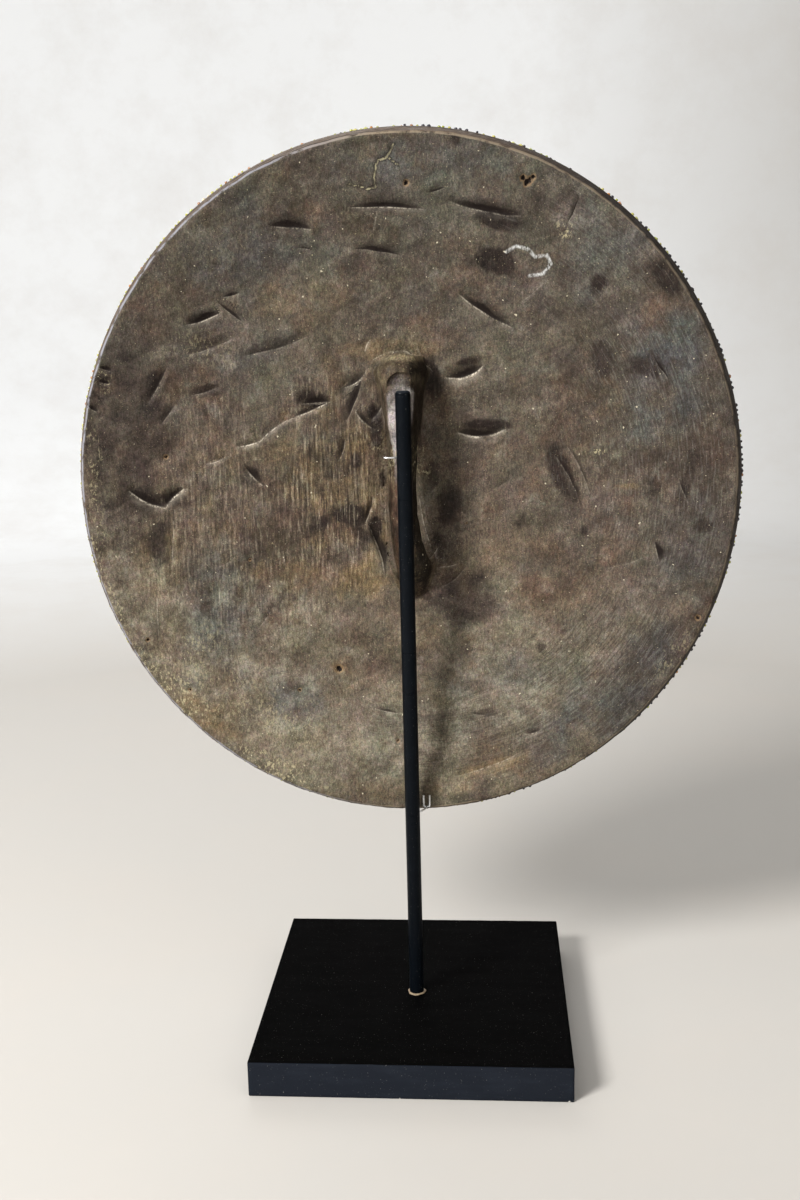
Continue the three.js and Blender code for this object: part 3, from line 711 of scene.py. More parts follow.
# Carves the relief into the joined board and grip and paints its marks
def carve(obj):
    points, normals = mesh_arrays(obj)
    places = points[:, [0, 2]]
    radius = np.hypot(points[:, 0], points[:, 2] / STRETCH)
    back = held(-normals[:, 1] * 2 - 0.4) * (radius < CREST_RADIUS + 0.5)
    on_grip = grip_share(points) * (radius < GRIP_REACH)
    on_board = back * (1 - on_grip)
    inner = held((CREST_RADIUS - radius) / 8)
    cut, slit, dark, pale = cut_marks(places)
    channel = np.minimum(near_line(places, CHANNEL), near_line(places, CHANNEL_BRANCH))
    hole_depth, hole = hole_marks(places)
    cut += 0.8 * np.exp(-(channel / 2.0) ** 2) + hole_depth
    relief = on_board * (cut + inner * hollow_relief(places)) + on_grip * grip_relief(points)
    side = held(1 - np.abs(radius - CREST_RADIUS - RIM_FLARE / 2) / 9) * (radius < HALF_WIDTH - 0.6)
    relief += side * (0.7 * rough(points, 18, 61) + 0.6 * rough(points, 5, 67))
    from_rod = np.abs(points[:, 0] + BOARD_X - rod_x(ROD_END)) - ROD_RADIUS
    clear = np.where(on_grip > 0.3, 1 - held(1 - from_rod / 1.5) * on_grip, 1)
    moved = points - normals * (relief * clear)[:, None]
    obj.data.vertices.foreach_set("co", ((moved + BOARD_ORIGIN) * MM).ravel())
    obj.data.update()
    # The cuts' painted shade and painted highlight, and the raw wood round the rod's end
    paint(obj, "marks", dark * on_board, pale * on_board, on_grip * raw_wood(points))
    # Rubbed wear, the painted shade of the right flank and the reddish strip of the grip
    paint(obj, "grip", *grip_wear_and_shade(points, normals, on_grip))
    # Stains with the painted shadow of the grip and the rod, ochre, and dust
    paint(obj, "patches", patches(places, STAINS_AND_SHADOWS), patches(places, OCHRE), patches(places, DUST))
    paint(obj, "zones", on_grip, patches(places, BRUSHED), patches(places, BLUISH))
    # Flakes, the broad darkened zones with their painted shade, and brush arcs
    paint(obj, "extra", patches(places, FLAKES), patches(places, SHADE_AND_DARK_ZONES), patches(places, ARCS))
    measure(obj, "slit_gap", slit)
    rim = np.where(normals[:, 1] < 0.9, radius - CREST_RADIUS, 20)
    measure(obj, "rim_gap", rim + 0.5 * rough(points, 14, 71))
    measure(obj, "turn", np.arctan2(points[:, 2], points[:, 0]))
    measure(obj, "channel_gap", channel)
    measure(obj, "chalk_gap", np.where(on_board > 0.5, near_line(places, CHALK), 20))
    measure(obj, "hole_gap", hole)


# Raw pale wood round the rod's end, wider on its left
def raw_wood(points):
    height = points[:, 2] + BOARD_Z
    aside = points[:, 0] + BOARD_X - rod_x(height)
    above = np.maximum(height - ROD_TOP + ROD_RADIUS, 0)
    gap = np.hypot(aside, above) - ROD_RADIUS
    reach = np.where(aside < 0, 5.2, 3.6) * (1 + 0.6 * rough(points, 7, 101))
    run = np.where(aside < 0, 75, 30)
    facing = points[:, 1] < -GRIP_CREST + NOTCH_DEPTH + 3
    return held(1.5 - gap / reach) * held((height - ROD_TOP + run) / 40) * facing


# Where the grip is rubbed pale, painted shade on its flank that faces right, away from the window, and its
# reddish strip
def grip_wear_and_shade(points, normals, on_grip):
    uneven = 0.5 + 0.5 * rough(points, 12, 103)
    top = held((points[:, 2] - GRIP_TOP + 7) / 3) * (0.5 + 0.5 * uneven)
    knob = 0.3 * held((points[:, 2] - GRIP_TOP + 32) / 12) * held(rough(points, 7, 105) * 3)
    top = np.maximum(top, knob)
    left, right, _, _ = grip_at(np.clip(points[:, 2], GRIP_BOTTOM, GRIP_TOP))
    edge = held(1 - np.minimum(np.abs(points[:, 0] - left), np.abs(points[:, 0] - right)) / 3) * uneven
    low = held((-points[:, 2] - 20) / 40)
    rubbed = np.maximum(top, 0.8 * edge * low)
    flank = held(normals[:, 0] * 2.2 - 0.2)
    red = held(-normals[:, 1]) * (points[:, 0] < -4) * held((20 - points[:, 2]) / 20)
    return rubbed * on_grip, flank * on_grip, red * on_grip


# Stores one number a point
def measure(obj, name, values):
    layer = obj.data.attributes.new(name, "FLOAT", "POINT")
    layer.data.foreach_set("value", np.asarray(values, float))


def make_board():
    grip = plain_grip()
    boolean(grip, egg("gap_cutter", *finger_gap()), "DIFFERENCE")
    boolean(grip, notch_cutter(), "DIFFERENCE")
    boolean(grip, rod_column("rod_room", ROD_RADIUS + FIT_GAP, 200, ROD_TOP + FIT_GAP), "DIFFERENCE")
    board = plain_board()
    boolean(board, grip, "UNION")
    carve(board)
    board.data.polygons.foreach_set("use_smooth", [True] * len(board.data.polygons))
    return board


BOARD = make_board()


# Links sockets to a node's inputs and sets its other inputs
def feed(made, inputs):
    for key, value in inputs.items():
        if isinstance(value, bpy.types.NodeSocket):
            made.id_data.links.new(value, made.inputs[key])
        else:
            made.inputs[key].default_value = value


def source(tree, kind, **settings):
    made = tree.nodes.new(kind)
    for name, value in settings.items():
        setattr(made, name, value)
    return made


# Adds a node to the tree of the sockets that feed it
def node(kind, inputs, **settings):
    tree = next(value.id_data for value in inputs.values() if isinstance(value, bpy.types.NodeSocket))
    made = source(tree, kind, **settings)
    feed(made, inputs)
    return made


def mix(share, first, second, mode="MIX"):
    first, second = ((*value, 1) if isinstance(value, tuple) else value for value in (first, second))
    settings = {"data_type": "RGBA", "blend_type": mode, "clamp_factor": True, "clamp_result": False}
    return node("ShaderNodeMix", {0: share, 6: first, 7: second}, **settings).outputs[2]


# Lays tones over a colour one after the other, each by its own share
def layered(colour, *layers):
    for share, tone in layers:
        colour = mix(share, colour, tone)
    return colour


def calc(operation, first, second=0.0, clamp=False):
    made = node("ShaderNodeMath", {0: first, 1: second}, operation=operation, use_clamp=clamp)
    return made.outputs[0]


def plus(first, second):
    return calc("ADD", first, second)


def times(*values):
    total = values[0]
    for value in values[1:]:
        total = calc("MULTIPLY", total, value)
    return total


# Object coordinates turned and then stretched, for grain that runs one way
def coordinates(tree, stretch=(1, 1, 1), turn=(0, 0, 0)):
    place = source(tree, "ShaderNodeTexCoord").outputs["Object"]
    angles = tuple(math.radians(a) for a in turn)
    turned = node("ShaderNodeMapping", {"Vector": place, "Rotation": angles})
    return node("ShaderNodeMapping", {"Vector": turned.outputs[0], "Scale": stretch}).outputs[0]


def apart(vector):
    return node("ShaderNodeSeparateXYZ", {0: vector}).outputs


def joined(first, second):
    return node("ShaderNodeCombineXYZ", {0: first, 1: second}).outputs[0]


# Cloudy value round a half, or with output 1 three such values
def cloud(vector, scale, detail=4.0, roughness=0.55, distortion=0.0, output=0):
    inputs = {"Vector": vector, "Scale": scale, "Detail": detail, "Roughness": roughness}
    return node("ShaderNodeTexNoise", {**inputs, "Distortion": distortion}).outputs[output]


# Turns a value between two limits into a share between 0 and 1
def between(value, low, high, floor=0.0, ceiling=1.0):
    return node("ShaderNodeMapRange", {0: value, 1: low, 2: high, 3: floor, 4: ceiling}).outputs[0]


# Share of lying in a band with soft sides
def in_band(value, start, full, still, end):
    return times(between(value, start, full), between(value, end, still))


# Shifts a value by a cloud, so that an edge drawn from it is uneven
def frayed(value, clouds, reach):
    return plus(value, times(calc("SUBTRACT", clouds, 0.5), reach))


# Darkens and lightens a colour by a cloud
def shaded(colour, clouds, low, high, dark, light):
    return mix(1.0, colour, between(clouds, low, high, dark, light), "MULTIPLY")


# Shifts each colour channel a little and apart from the others
def tinted(colour, vector, scale, reach):
    clouds = cloud(vector, scale, 4.0, 0.65, output=1)
    spread, least = (4 * reach,) * 3, (1 - 2 * reach,) * 3
    shift = node("ShaderNodeVectorMath", {0: clouds, 1: spread, 2: least}, operation="MULTIPLY_ADD")
    return mix(1.0, colour, shift.outputs[0], "MULTIPLY")


def channels(tree, name):
    layer = source(tree, "ShaderNodeAttribute", attribute_name=name)
    return node("ShaderNodeSeparateColor", {0: layer.outputs["Color"]}).outputs


def stored(tree, name):
    return source(tree, "ShaderNodeAttribute", attribute_name=name).outputs["Fac"]


def bump(height, strength, distance):
    inputs = {"Height": height, "Strength": strength, "Distance": distance}
    return node("ShaderNodeBump", inputs).outputs[0]


def new_material(name):
    made = bpy.data.materials.new(name)
    made.use_nodes = True
    return made, made.node_tree, made.node_tree.nodes["Principled BSDF"]


# Colours of the wood
WOOD_WARM, WOOD_GREEN, WOOD_RIGHT = (0.11, 0.08, 0.057), (0.083, 0.075, 0.058), (0.08, 0.067, 0.056)
WOOD_LOW, WOOD_DEEP, WOOD_GREY = (0.17, 0.148, 0.104), (0.045, 0.03, 0.021), (0.21, 0.185, 0.14)
WOOD_RUSSET, WOOD_BLUE = (0.115, 0.063, 0.037), (0.052, 0.06, 0.062)
RIM_TONE, RIM_DARK = (0.12, 0.084, 0.058), (0.022, 0.016, 0.013)
CREST_COOL, CREST_WARM = (0.24, 0.24, 0.27), (0.3, 0.24, 0.17)
DUST_TONE, OCHRE_TONE, STAIN_AND_SHADOW_TONE = (0.23, 0.208, 0.158), (0.168, 0.118, 0.06), (0.018, 0.012, 0.01)
GRIP_DARK, GRIP_BROWN, GRIP_RED = (0.01, 0.007, 0.005), (0.052, 0.036, 0.023), (0.068, 0.033, 0.021)
GRIP_WORN, GRIP_RUBBED = (0.13, 0.1, 0.06), (0.3, 0.24, 0.15)
RAW_DULL, RAW_PALE = (0.15, 0.125, 0.115), (0.5, 0.46, 0.45)
LIP_HIGHLIGHT_TONE, RECESS_SHADE_AND_DIRT_TONE = (0.55, 0.49, 0.4), (0.008, 0.005, 0.004)
CHALK_TONE, CHANNEL_TONE = (0.6, 0.61, 0.6), (0.3, 0.27, 0.17)
SHADE_AND_DARK_ZONE_TONE, FLAKE_TONE, RING_TONE = (0.035, 0.026, 0.021), (0.39, 0.34, 0.21), (0.32, 0.2, 0.1)
STREAK_DARK, STREAK_PALE, ARC_PALE = (0.03, 0.021, 0.016), (0.36, 0.3, 0.22), (0.24, 0.23, 0.2)
GRIT_TONE, SPARK_TONE = (0.5, 0.43, 0.26), (0.55, 0.49, 0.36)

# Colours of the paints, the wire, the glue and the room; the block paint's front is a lit copy and its top a
# shaded one, the rod paint's upper colour a painted highlight
BLOCK_FRONT_LIT, BLOCK_TOP_SHADED = (0.012, 0.0145, 0.02), (0.0012, 0.0012, 0.0012)
ROD_FRONT, ROD_TIP_HIGHLIGHT = (0.002, 0.003, 0.0045), (0.015, 0.018, 0.022)
PAINT_DUST, PAINT_WORN, CHIP_TONE = (0.25, 0.24, 0.22), (0.19, 0.2, 0.21), (0.62, 0.6, 0.55)
WIRE_BRIGHT, WIRE_DULL = (0.85, 0.86, 0.88), (0.5, 0.49, 0.46)
GLUE_DARK, GLUE_PALE, GRIME_TONE = (0.1, 0.06, 0.03), (0.38, 0.3, 0.2), (0.05, 0.038, 0.025)
ROOM_FLOOR, ROOM_WALL = (0.475, 0.458, 0.433), (0.85, 0.86, 0.87)
# The room's stain, and its painted shade towards the right
ROOM_STAIN, ROOM_PAINTED_SHADE = (0.52, 0.47, 0.42), (0.4, 0.385, 0.36)


# Broad tones of the board: by height and side, paler towards the bottom partly as painted light, mottled,
# dusty and stained, with painted shadow beside the grip
def board_tone(tree, even, spots, zones, small):
    aside, _, height = apart(even)
    blue = cloud(even, 31, 6, 0.72)
    blotch = cloud(coordinates(tree, (1, 1, 0.6)), 85, 4, 0.6)
    dusty = times(spots[2], between(small, 0.36, 0.62))
    # Stains and the painted shadow beside the grip, with ragged edges
    torn = frayed(spots[0], cloud(even, 110, 4, 0.65), 1.8)
    stain = times(spots[0], between(torn, 0.22, 0.6, 0.25, 1.15))
    return layered(
        mix(between(height, 0.3, 0.7), WOOD_WARM, WOOD_GREEN),
        (between(aside, 0.02, 0.26, 0, 0.75), WOOD_RIGHT),
        # Paler towards the bottom: partly painted light, where the dish's lower half faces up to the lamps,
        # partly the wood's own paler, dustier tone
        (between(height, 0.42, 0.2, 0, 0.8), WOOD_LOW),
        (between(cloud(even, 11, 5, 0.65), 0.44, 0.64, 0, 0.7), WOOD_DEEP),
        (between(cloud(even, 24, 5, 0.7), 0.5, 0.7, 0, 0.5), WOOD_RUSSET),
        (times(zones[2], between(blue, 0.36, 0.56)), WOOD_BLUE),
        (between(blue, 0.56, 0.74, 0, 0.45), WOOD_BLUE),
        (between(small, 0.52, 0.74, 0, 0.35), WOOD_GREY),
        (times(zones[1], between(blotch, 0.53, 0.62), 0.6), WOOD_DEEP),
        (times(zones[1], between(blotch, 0.47, 0.38), 0.45), OCHRE_TONE),
        (dusty, DUST_TONE),
        (times(spots[1], between(cloud(even, 38, 4), 0.38, 0.6)), OCHRE_TONE),
        (calc("MINIMUM", stain, 0.95), STAIN_AND_SHADOW_TONE)), dusty


# The grip: dark, with painted shade on its right flank, reddish and rubbed, with raw wood round the rod's end
def grip_tone(tree, upright, small, fibre, bare):
    wear = channels(tree, "grip")
    strands = times(between(fibre, 0.5, 0.62), between(small, 0.4, 0.55), 0.5)
    return layered(
        mix(between(cloud(upright, 70, 5), 0.42, 0.58), GRIP_DARK, GRIP_BROWN),
        (times(wear[2], between(small, 0.35, 0.6)), GRIP_RED),
        (between(small, 0.54, 0.68, 0, 0.5), GRIP_WORN),
        (strands, GRIP_WORN),
        # Painted shade on the grip's right flank
        (times(wear[1], 0.92), GRIP_DARK),
        (times(wear[0], between(fibre, 0.3, 0.55)), GRIP_RUBBED),
        (times(bare, between(small, 0.3, 0.55, 0.5, 1)),
         mix(between(fibre, 0.3, 0.55), RAW_DULL, RAW_PALE)))


# Fine mottle, brush lines that run round the board, grit, bright specks and flakes
def fine_tone(tree, colour, even, extra, small, speck):
    grit = cloud(even, 1100, 2, 0.5)
    smear = cloud(coordinates(tree, (0.45, 1, 1), (0, 28, 0)), 75, 6, 0.72, 0.8)
    colour = shaded(colour, small, 0.3, 0.7, 0.72, 1.24)
    colour = shaded(colour, smear, 0.34, 0.66, 0.66, 1.3)
    colour = tinted(colour, even, 38, 0.07)
    colour = tinted(colour, even, 420, 0.1)
    colour = shaded(colour, speck, 0.34, 0.66, 0.66, 1.34)
    colour = shaded(colour, grit, 0.32, 0.68, 0.62, 1.16)
    round_board = joined(times(stored(tree, "rim_gap"), 0.75), times(stored(tree, "turn"), 14.0))
    arc = cloud(round_board, 1.0, 4, 0.65)
    flakes = between(cloud(coordinates(tree, (1, 1, 0.55)), 430, 4, 0.75), 0.55, 0.6)
    return layered(
        colour,
        (times(extra[2], between(arc, 0.5, 0.64), 0.62), STREAK_DARK),
        (times(extra[2], between(arc, 0.46, 0.34), 0.25), ARC_PALE),
        (between(grit, 0.7, 0.78, 0, 0.7), GRIT_TONE),
        (between(cloud(even, 360, 1, 0.3), 0.785, 0.815, 0, 0.75), SPARK_TONE),
        (times(extra[0], flakes, 0.85), FLAKE_TONE))


# The bevelled rim, painted darker on its right side as painted shade, and its pale crest, worn wood with a
# painted highlight that is strongest and coolest on the left, towards the window
def rim_tone(tree, colour, small):
    rim = stored(tree, "rim_gap")
    aside = apart(coordinates(tree))[0]
    stripe = joined(times(rim, 0.9), times(aside, 3.0))
    bevel = mix(between(cloud(stripe, 1.6, 3), 0.42, 0.58), RIM_TONE, RIM_DARK)
    # Painted shade: the rim's right side darker, away from the window
    bevel = mix(between(aside, 0.04, 0.16), bevel, RIM_DARK)
    crest = times(in_band(rim, -0.4, 0.2, 1.3, 2.2), between(small, 0.4, 0.5))
    # Painted highlight: the crest paler on the left, where the window's light catches it
    crest = times(crest, between(aside, -0.2, 0.2, 0.8, 0.3))
    pale = mix(between(aside, -0.02, -0.1), CREST_WARM, CREST_COOL)
    return layered(colour, (between(rim, 0.4, 1.2), bevel), (crest, pale))


# The adze cuts: painted shade with dirt above their edge, a thin painted highlight on the lip and a soft
# painted glow below it
def cut_tone(tree, colour, marks, small, speck):
    gap = stored(tree, "slit_gap")
    above = times(marks[0], between(gap, 0.5, -0.2))
    uneven = frayed(gap, small, 9.0)
    wide = between(plus(uneven, times(marks[0], 9.0)), -2.5, 6.5)
    core = between(plus(uneven, times(marks[0], 5.0)), 0.6, 2.0)
    thin = times(in_band(gap, 0.1, 0.5, 0.7, 1.3), between(speck, 0.42, 0.52))
    thin = times(thin, between(small, 0.4, 0.56), between(speck, 0.3, 0.5, 0.4, 1))
    halo = times(in_band(gap, -0.2, 1.0, 1.5, 5.0), 0.2, between(small, 0.36, 0.6))
    return layered(
        colour,
        (times(above, wide, 0.8), RECESS_SHADE_AND_DIRT_TONE), (times(above, core, 0.9), RECESS_SHADE_AND_DIRT_TONE),
        (times(marks[1], thin), LIP_HIGHLIGHT_TONE), (times(marks[1], halo), LIP_HIGHLIGHT_TONE))


# The insect channel with painted shadow along its sides, the chalk, and the worm holes with painted shade in
# their middles
def small_marks(tree, colour, small, speck):
    channel = frayed(stored(tree, "channel_gap"), speck, 2.4)
    lit = times(between(channel, 0.9, 0.4), between(small, 0.36, 0.56), 0.8)
    chalk = between(stored(tree, "chalk_gap"), 1.7, 0.3)
    hole = frayed(stored(tree, "hole_gap"), speck, 1.6)
    return layered(
        colour,
        (between(channel, 1.9, 1.2, 0, 0.6), RECESS_SHADE_AND_DIRT_TONE), (lit, CHANNEL_TONE),
        (times(chalk, between(speck, 0.36, 0.6), 0.85), CHALK_TONE),
        (between(hole, 1.5, 1.1, 0, 0.35), RING_TONE), (between(hole, 0.9, 0.7), RECESS_SHADE_AND_DIRT_TONE))


# Worn, oiled and dusty wood with its carved marks
def wood_material():
    made, tree, shader = new_material("worn_carved_wood")
    even, upright = coordinates(tree), coordinates(tree, (1, 1, 0.09))
    marks, spots, zones, extra = (channels(tree, name) for name in ("marks", "patches", "zones", "extra"))
    small = cloud(even, 62, 6, 0.7)
    speck = cloud(coordinates(tree, (1, 1, 0.45)), 640, 3, 0.7)
    fibre = cloud(upright, 520, 4, 0.65)
    streaks = plus(times(zones[1], 0.75), 0.12)
    colour, dusty = board_tone(tree, even, spots, zones, small)
    colour = layered(
        colour,
        (zones[0], grip_tone(tree, upright, small, fibre, marks[2])),
        (times(streaks, between(fibre, 0.48, 0.62)), STREAK_DARK),
        (times(streaks, between(fibre, 0.46, 0.34), 0.55), STREAK_PALE),
        # Painted shade and darker wood over the broad darkened zones
        (times(extra[1], between(small, 0.25, 0.6, 1.1, 0.7)), SHADE_AND_DARK_ZONE_TONE))
    colour = fine_tone(tree, colour, even, extra, small, speck)
    colour = rim_tone(tree, colour, small)
    colour = cut_tone(tree, colour, marks, small, speck)
    dull = plus(between(small, 0.35, 0.65, 0.5, 0.72), times(dusty, 0.2))
    grain = plus(times(fibre, streaks, 0.9), times(speck, 0.5))
    feed(shader, {
        "Base Color": small_marks(tree, colour, small, speck),
        "Roughness": calc("SUBTRACT", dull, times(zones[0], 0.16), True),
        "Specular IOR Level": 0.1,
        "Normal": bump(plus(grain, times(small, 1.1)), 0.7, 0.0012)})
    return made


# Glass bead, coloured through and a little different from bead to bead
def bead_material(name, tone, second, clear):
    made, tree, shader = new_material(name)
    grime = between(cloud(coordinates(tree), 240, 4), 0.52, 0.7, 0, 0.45)
    feed(shader, {
        "Base Color": mix(grime, mix(stored(tree, "each"), tone, second), GRIME_TONE),
        "Roughness": between(grime, 0, 0.45, 0.12, 0.4),
        "Transmission Weight": clear, "IOR": 1.5})
    return made


# Satin black paint: front and top colour, whether its edges are worn, gloss and least roughness. The top
# colour is painted light: a darker copy on the block's top, a painted highlight on the rod's rounded tip
def paint_material(name, front, top, worn_edges, gloss, least_rough):
    made, tree, shader = new_material(name)
    even = coordinates(tree)
    upward = apart(source(tree, "ShaderNodeNewGeometry").outputs["Normal"])[2]
    mottle = cloud(coordinates(tree, (0.25, 1, 1)), 90, 5, 0.65)
    streak = times(between(mottle, 0.5, 0.75, 0, 0.4), between(upward, 0.8, 0.3))
    colour = layered(
        front,
        # Painted light: faces that point up take the top colour, darker on the block and a highlight on the
        # rod's tip
        (between(upward, 0.3, 0.8), top), (streak, tuple(1.9 * c for c in front)),
        (between(cloud(even, 900, 2, 0.5), 0.7, 0.78, 0, 0.5), PAINT_DUST))
    if worn_edges:
        rub = between(channels(tree, "wear")[0], 0.5, 0.9)
        rub = times(rub, between(cloud(even, 60, 5), 0.36, 0.62), 0.4)
        chip = between(stored(tree, "chip_gap"), 1.2, 0.9)
        colour = layered(colour, (rub, PAINT_WORN), (chip, CHIP_TONE))
    feed(shader, {
        "Base Color": colour,
        "Roughness": between(mottle, 0.3, 0.7, least_rough, least_rough + 0.14),
        "Specular IOR Level": gloss,
        "Normal": bump(cloud(even, 500, 3), 0.2, 0.0004)})
    return made


def wire_material():
    made, tree, shader = new_material("bright_wire")
    streak = cloud(coordinates(tree, (1, 1, 0.2)), 800, 3)
    feed(shader, {
        "Base Color": mix(between(streak, 0.4, 0.7), WIRE_BRIGHT, WIRE_DULL),
        "Roughness": between(streak, 0.3, 0.7, 0.2, 0.38), "Metallic": 1.0})
    return made


def glue_material():
    made, tree, shader = new_material("dried_glue")
    lump = cloud(coordinates(tree), 500, 4)
    feed(shader, {
        "Base Color": mix(lump, GLUE_DARK, GLUE_PALE),
        "Roughness": between(lump, 0.3, 0.7, 0.3, 0.6)})
    return made


# Gives a piece its material and body, and hides the CAD parts it stands for
def finish_piece(obj, material, slot, *nodes):
    obj.data.materials.clear()
    obj.data.materials.append(material)
    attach(obj, "root")
    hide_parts(*nodes)


# One bead as rings round its thread: half length, and radius as a share of the widest
BEAD_RINGS = ((-1.0, 0.62), (0.0, 1.0), (1.0, 0.62))
BEAD_SIDES = 6


def bead_template():
    points = []
    for reach, wide in BEAD_RINGS:
        for k in range(BEAD_SIDES):
            a = 2 * math.pi * k / BEAD_SIDES
            points.append((reach, wide * math.cos(a), wide * math.sin(a)))
    faces = []
    for ring in range(len(BEAD_RINGS) - 1):
        for k in range(BEAD_SIDES):
            a, b = ring * BEAD_SIDES + k, ring * BEAD_SIDES + (k + 1) % BEAD_SIDES
            faces.append((a, b, b + BEAD_SIDES))
            faces.append((a, b + BEAD_SIDES, a + BEAD_SIDES))
    last = (len(BEAD_RINGS) - 1) * BEAD_SIDES
    for k in range(1, BEAD_SIDES - 1):
        faces.append((0, k + 1, k))
        faces.append((last, last + k, last + k + 1))
    return np.array(points), np.array(faces)


def unit(rows):
    return rows / np.linalg.norm(rows, axis=1)[:, None]


# Directions turned square to others
def square_to(rows, others):
    return unit(rows - others * np.sum(rows * others, 1)[:, None])


# Many beads as one mesh: middles, threads' directions, outward directions and sizes
def bead_mesh(name, middles, threads, outs, sizes, seed):
    points, faces = bead_template()
    across = np.cross(threads, outs)
    axes = np.stack([threads * sizes[:, :1], across * sizes[:, 1:2], outs * sizes[:, 2:]], 1)
    every = middles[:, None] + np.einsum("pk,nkc->npc", points, axes)
    every = every.reshape(-1, 3) + BOARD_ORIGIN
    all_faces = (faces[None] + (np.arange(len(middles)) * len(points))[:, None, None]).reshape(-1, 3)
    mesh = bpy.data.meshes.new(name)
    mesh.vertices.add(len(every))
    mesh.vertices.foreach_set("co", (every * MM).ravel())
    mesh.loops.add(all_faces.size)
    mesh.loops.foreach_set("vertex_index", all_faces.ravel())
    mesh.polygons.add(len(all_faces))
    mesh.polygons.foreach_set("loop_start", np.arange(0, all_faces.size, 3))
    mesh.update(calc_edges=True)
    mesh.polygons.foreach_set("use_smooth", [True] * len(all_faces))
    obj = put(name, mesh)
    measure(obj, "each", np.random.RandomState(seed).uniform(0, 1, len(middles)).repeat(len(points)))
    return obj


# Spacing and sizes of the beads in mm, and the front's pattern
ROW_PITCH, BEAD_PITCH, BEAD_GIRTH, BEAD_HALF_LENGTH = 4.0, 3.6, 3.7, 1.45
RIM_PITCH, BIG_SHARE, BIG_BEAD = 4.3, 0.14, 2.3
ZIGZAG_COUNT, LINE_SHARE = 24, 0.08
FRONT_SEED, FRONT_SHADE_SEED, RIM_SEED, RIM_SHADE_SEED = 7, 3, 19, 4


# Which colour a bead of the front has
def front_colour(radius, angle):
    rise = (radius - INNER_EDGE) / ZIGZAG_BAND
    turn = (angle * ZIGZAG_COUNT / (2 * np.pi)) % 1
    peak = np.abs(2 * turn - 1)
    inside = np.where(rise < peak, "dark", "amber")
    inside = np.where(np.abs(rise - peak) < LINE_SHARE, "cream", inside)
    colour = np.where(radius > ZIGZAG_EDGE, "dark", inside)
    colour = np.where(radius < INNER_EDGE, "lime", colour)
    colour = np.where(radius < DOME_EDGE, "cream", colour)
    colour = np.where(np.abs(radius - DOME_EDGE) < ROW_PITCH, "dark", colour)
    colour = np.where(np.abs(radius - INNER_EDGE) < ROW_PITCH / 2, "cream", colour)
    return np.where(np.abs(radius - ZIGZAG_EDGE) < ROW_PITCH, "lime", colour)


# Rows of beads round the front from its edge to its middle
def front_beads():
    random = np.random.RandomState(FRONT_SEED)
    radii, angles = [], []
    for radius in np.arange(BAND_EDGE - BEAD_GIRTH / 2, ROW_PITCH / 2, -ROW_PITCH):
        count = max(5, int(2 * np.pi * radius * (1 + STRETCH) / 2 / BEAD_PITCH))
        angles.append(2 * np.pi * (np.arange(count) + random.uniform(0, 1)) / count)
        radii.append(np.full(count, radius))
    radius = np.concatenate(radii)
    angle = np.concatenate(angles)
    wobble = 0.35 * random.uniform(-1, 1, len(radius))
    x = (radius + wobble) * np.cos(angle)
    z = (radius + wobble) * np.sin(angle) * STRETCH
    y = front_at(radius) + FIT_GAP + BEAD_HEIGHT / 2
    rise = 2 * (DISH_DEPTH + MIDDLE_THICKNESS - RIM_DEPTH) / HALF_WIDTH ** 2
    outs = unit(np.stack([rise * x, np.ones(len(x)), rise * z / STRETCH ** 2], 1))
    threads = np.stack([-np.sin(angle), np.zeros(len(x)), np.cos(angle) * STRETCH], 1)
    threads += random.uniform(-0.12, 0.12, threads.shape)
    threads = square_to(threads, outs)
    widest = np.array([BEAD_HALF_LENGTH, BEAD_GIRTH / 2, BEAD_HEIGHT / 2])
    sizes = widest * random.uniform(0.86, 1.0, (len(x), 1))
    return np.stack([x, y, z], 1), threads, outs, sizes, front_colour(radius, angle), radius


# Colours of the glass: first tone, second tone and how clear it is
GLASS = {
    "dark": ((0.012, 0.013, 0.03), (0.03, 0.024, 0.03), 0.0),
    "amber": ((0.5, 0.2, 0.02), (0.3, 0.1, 0.012), 0.25),
    "lime": ((0.36, 0.4, 0.05), (0.5, 0.45, 0.1), 0.3),
    "cream": ((0.72, 0.66, 0.46), (0.6, 0.52, 0.34), 0.1),
}
# Bands of the front: CAD node, inner and outer radius
BANDS = {
    "outer": ("outer_band_beads", ZIGZAG_EDGE, BAND_EDGE),
    "zigzag": ("zigzag_band_beads", INNER_EDGE, ZIGZAG_EDGE),
    "inner": ("inner_band_beads", DOME_EDGE, INNER_EDGE),
    "centre": ("centre_beads", 0.0, DOME_EDGE),
}


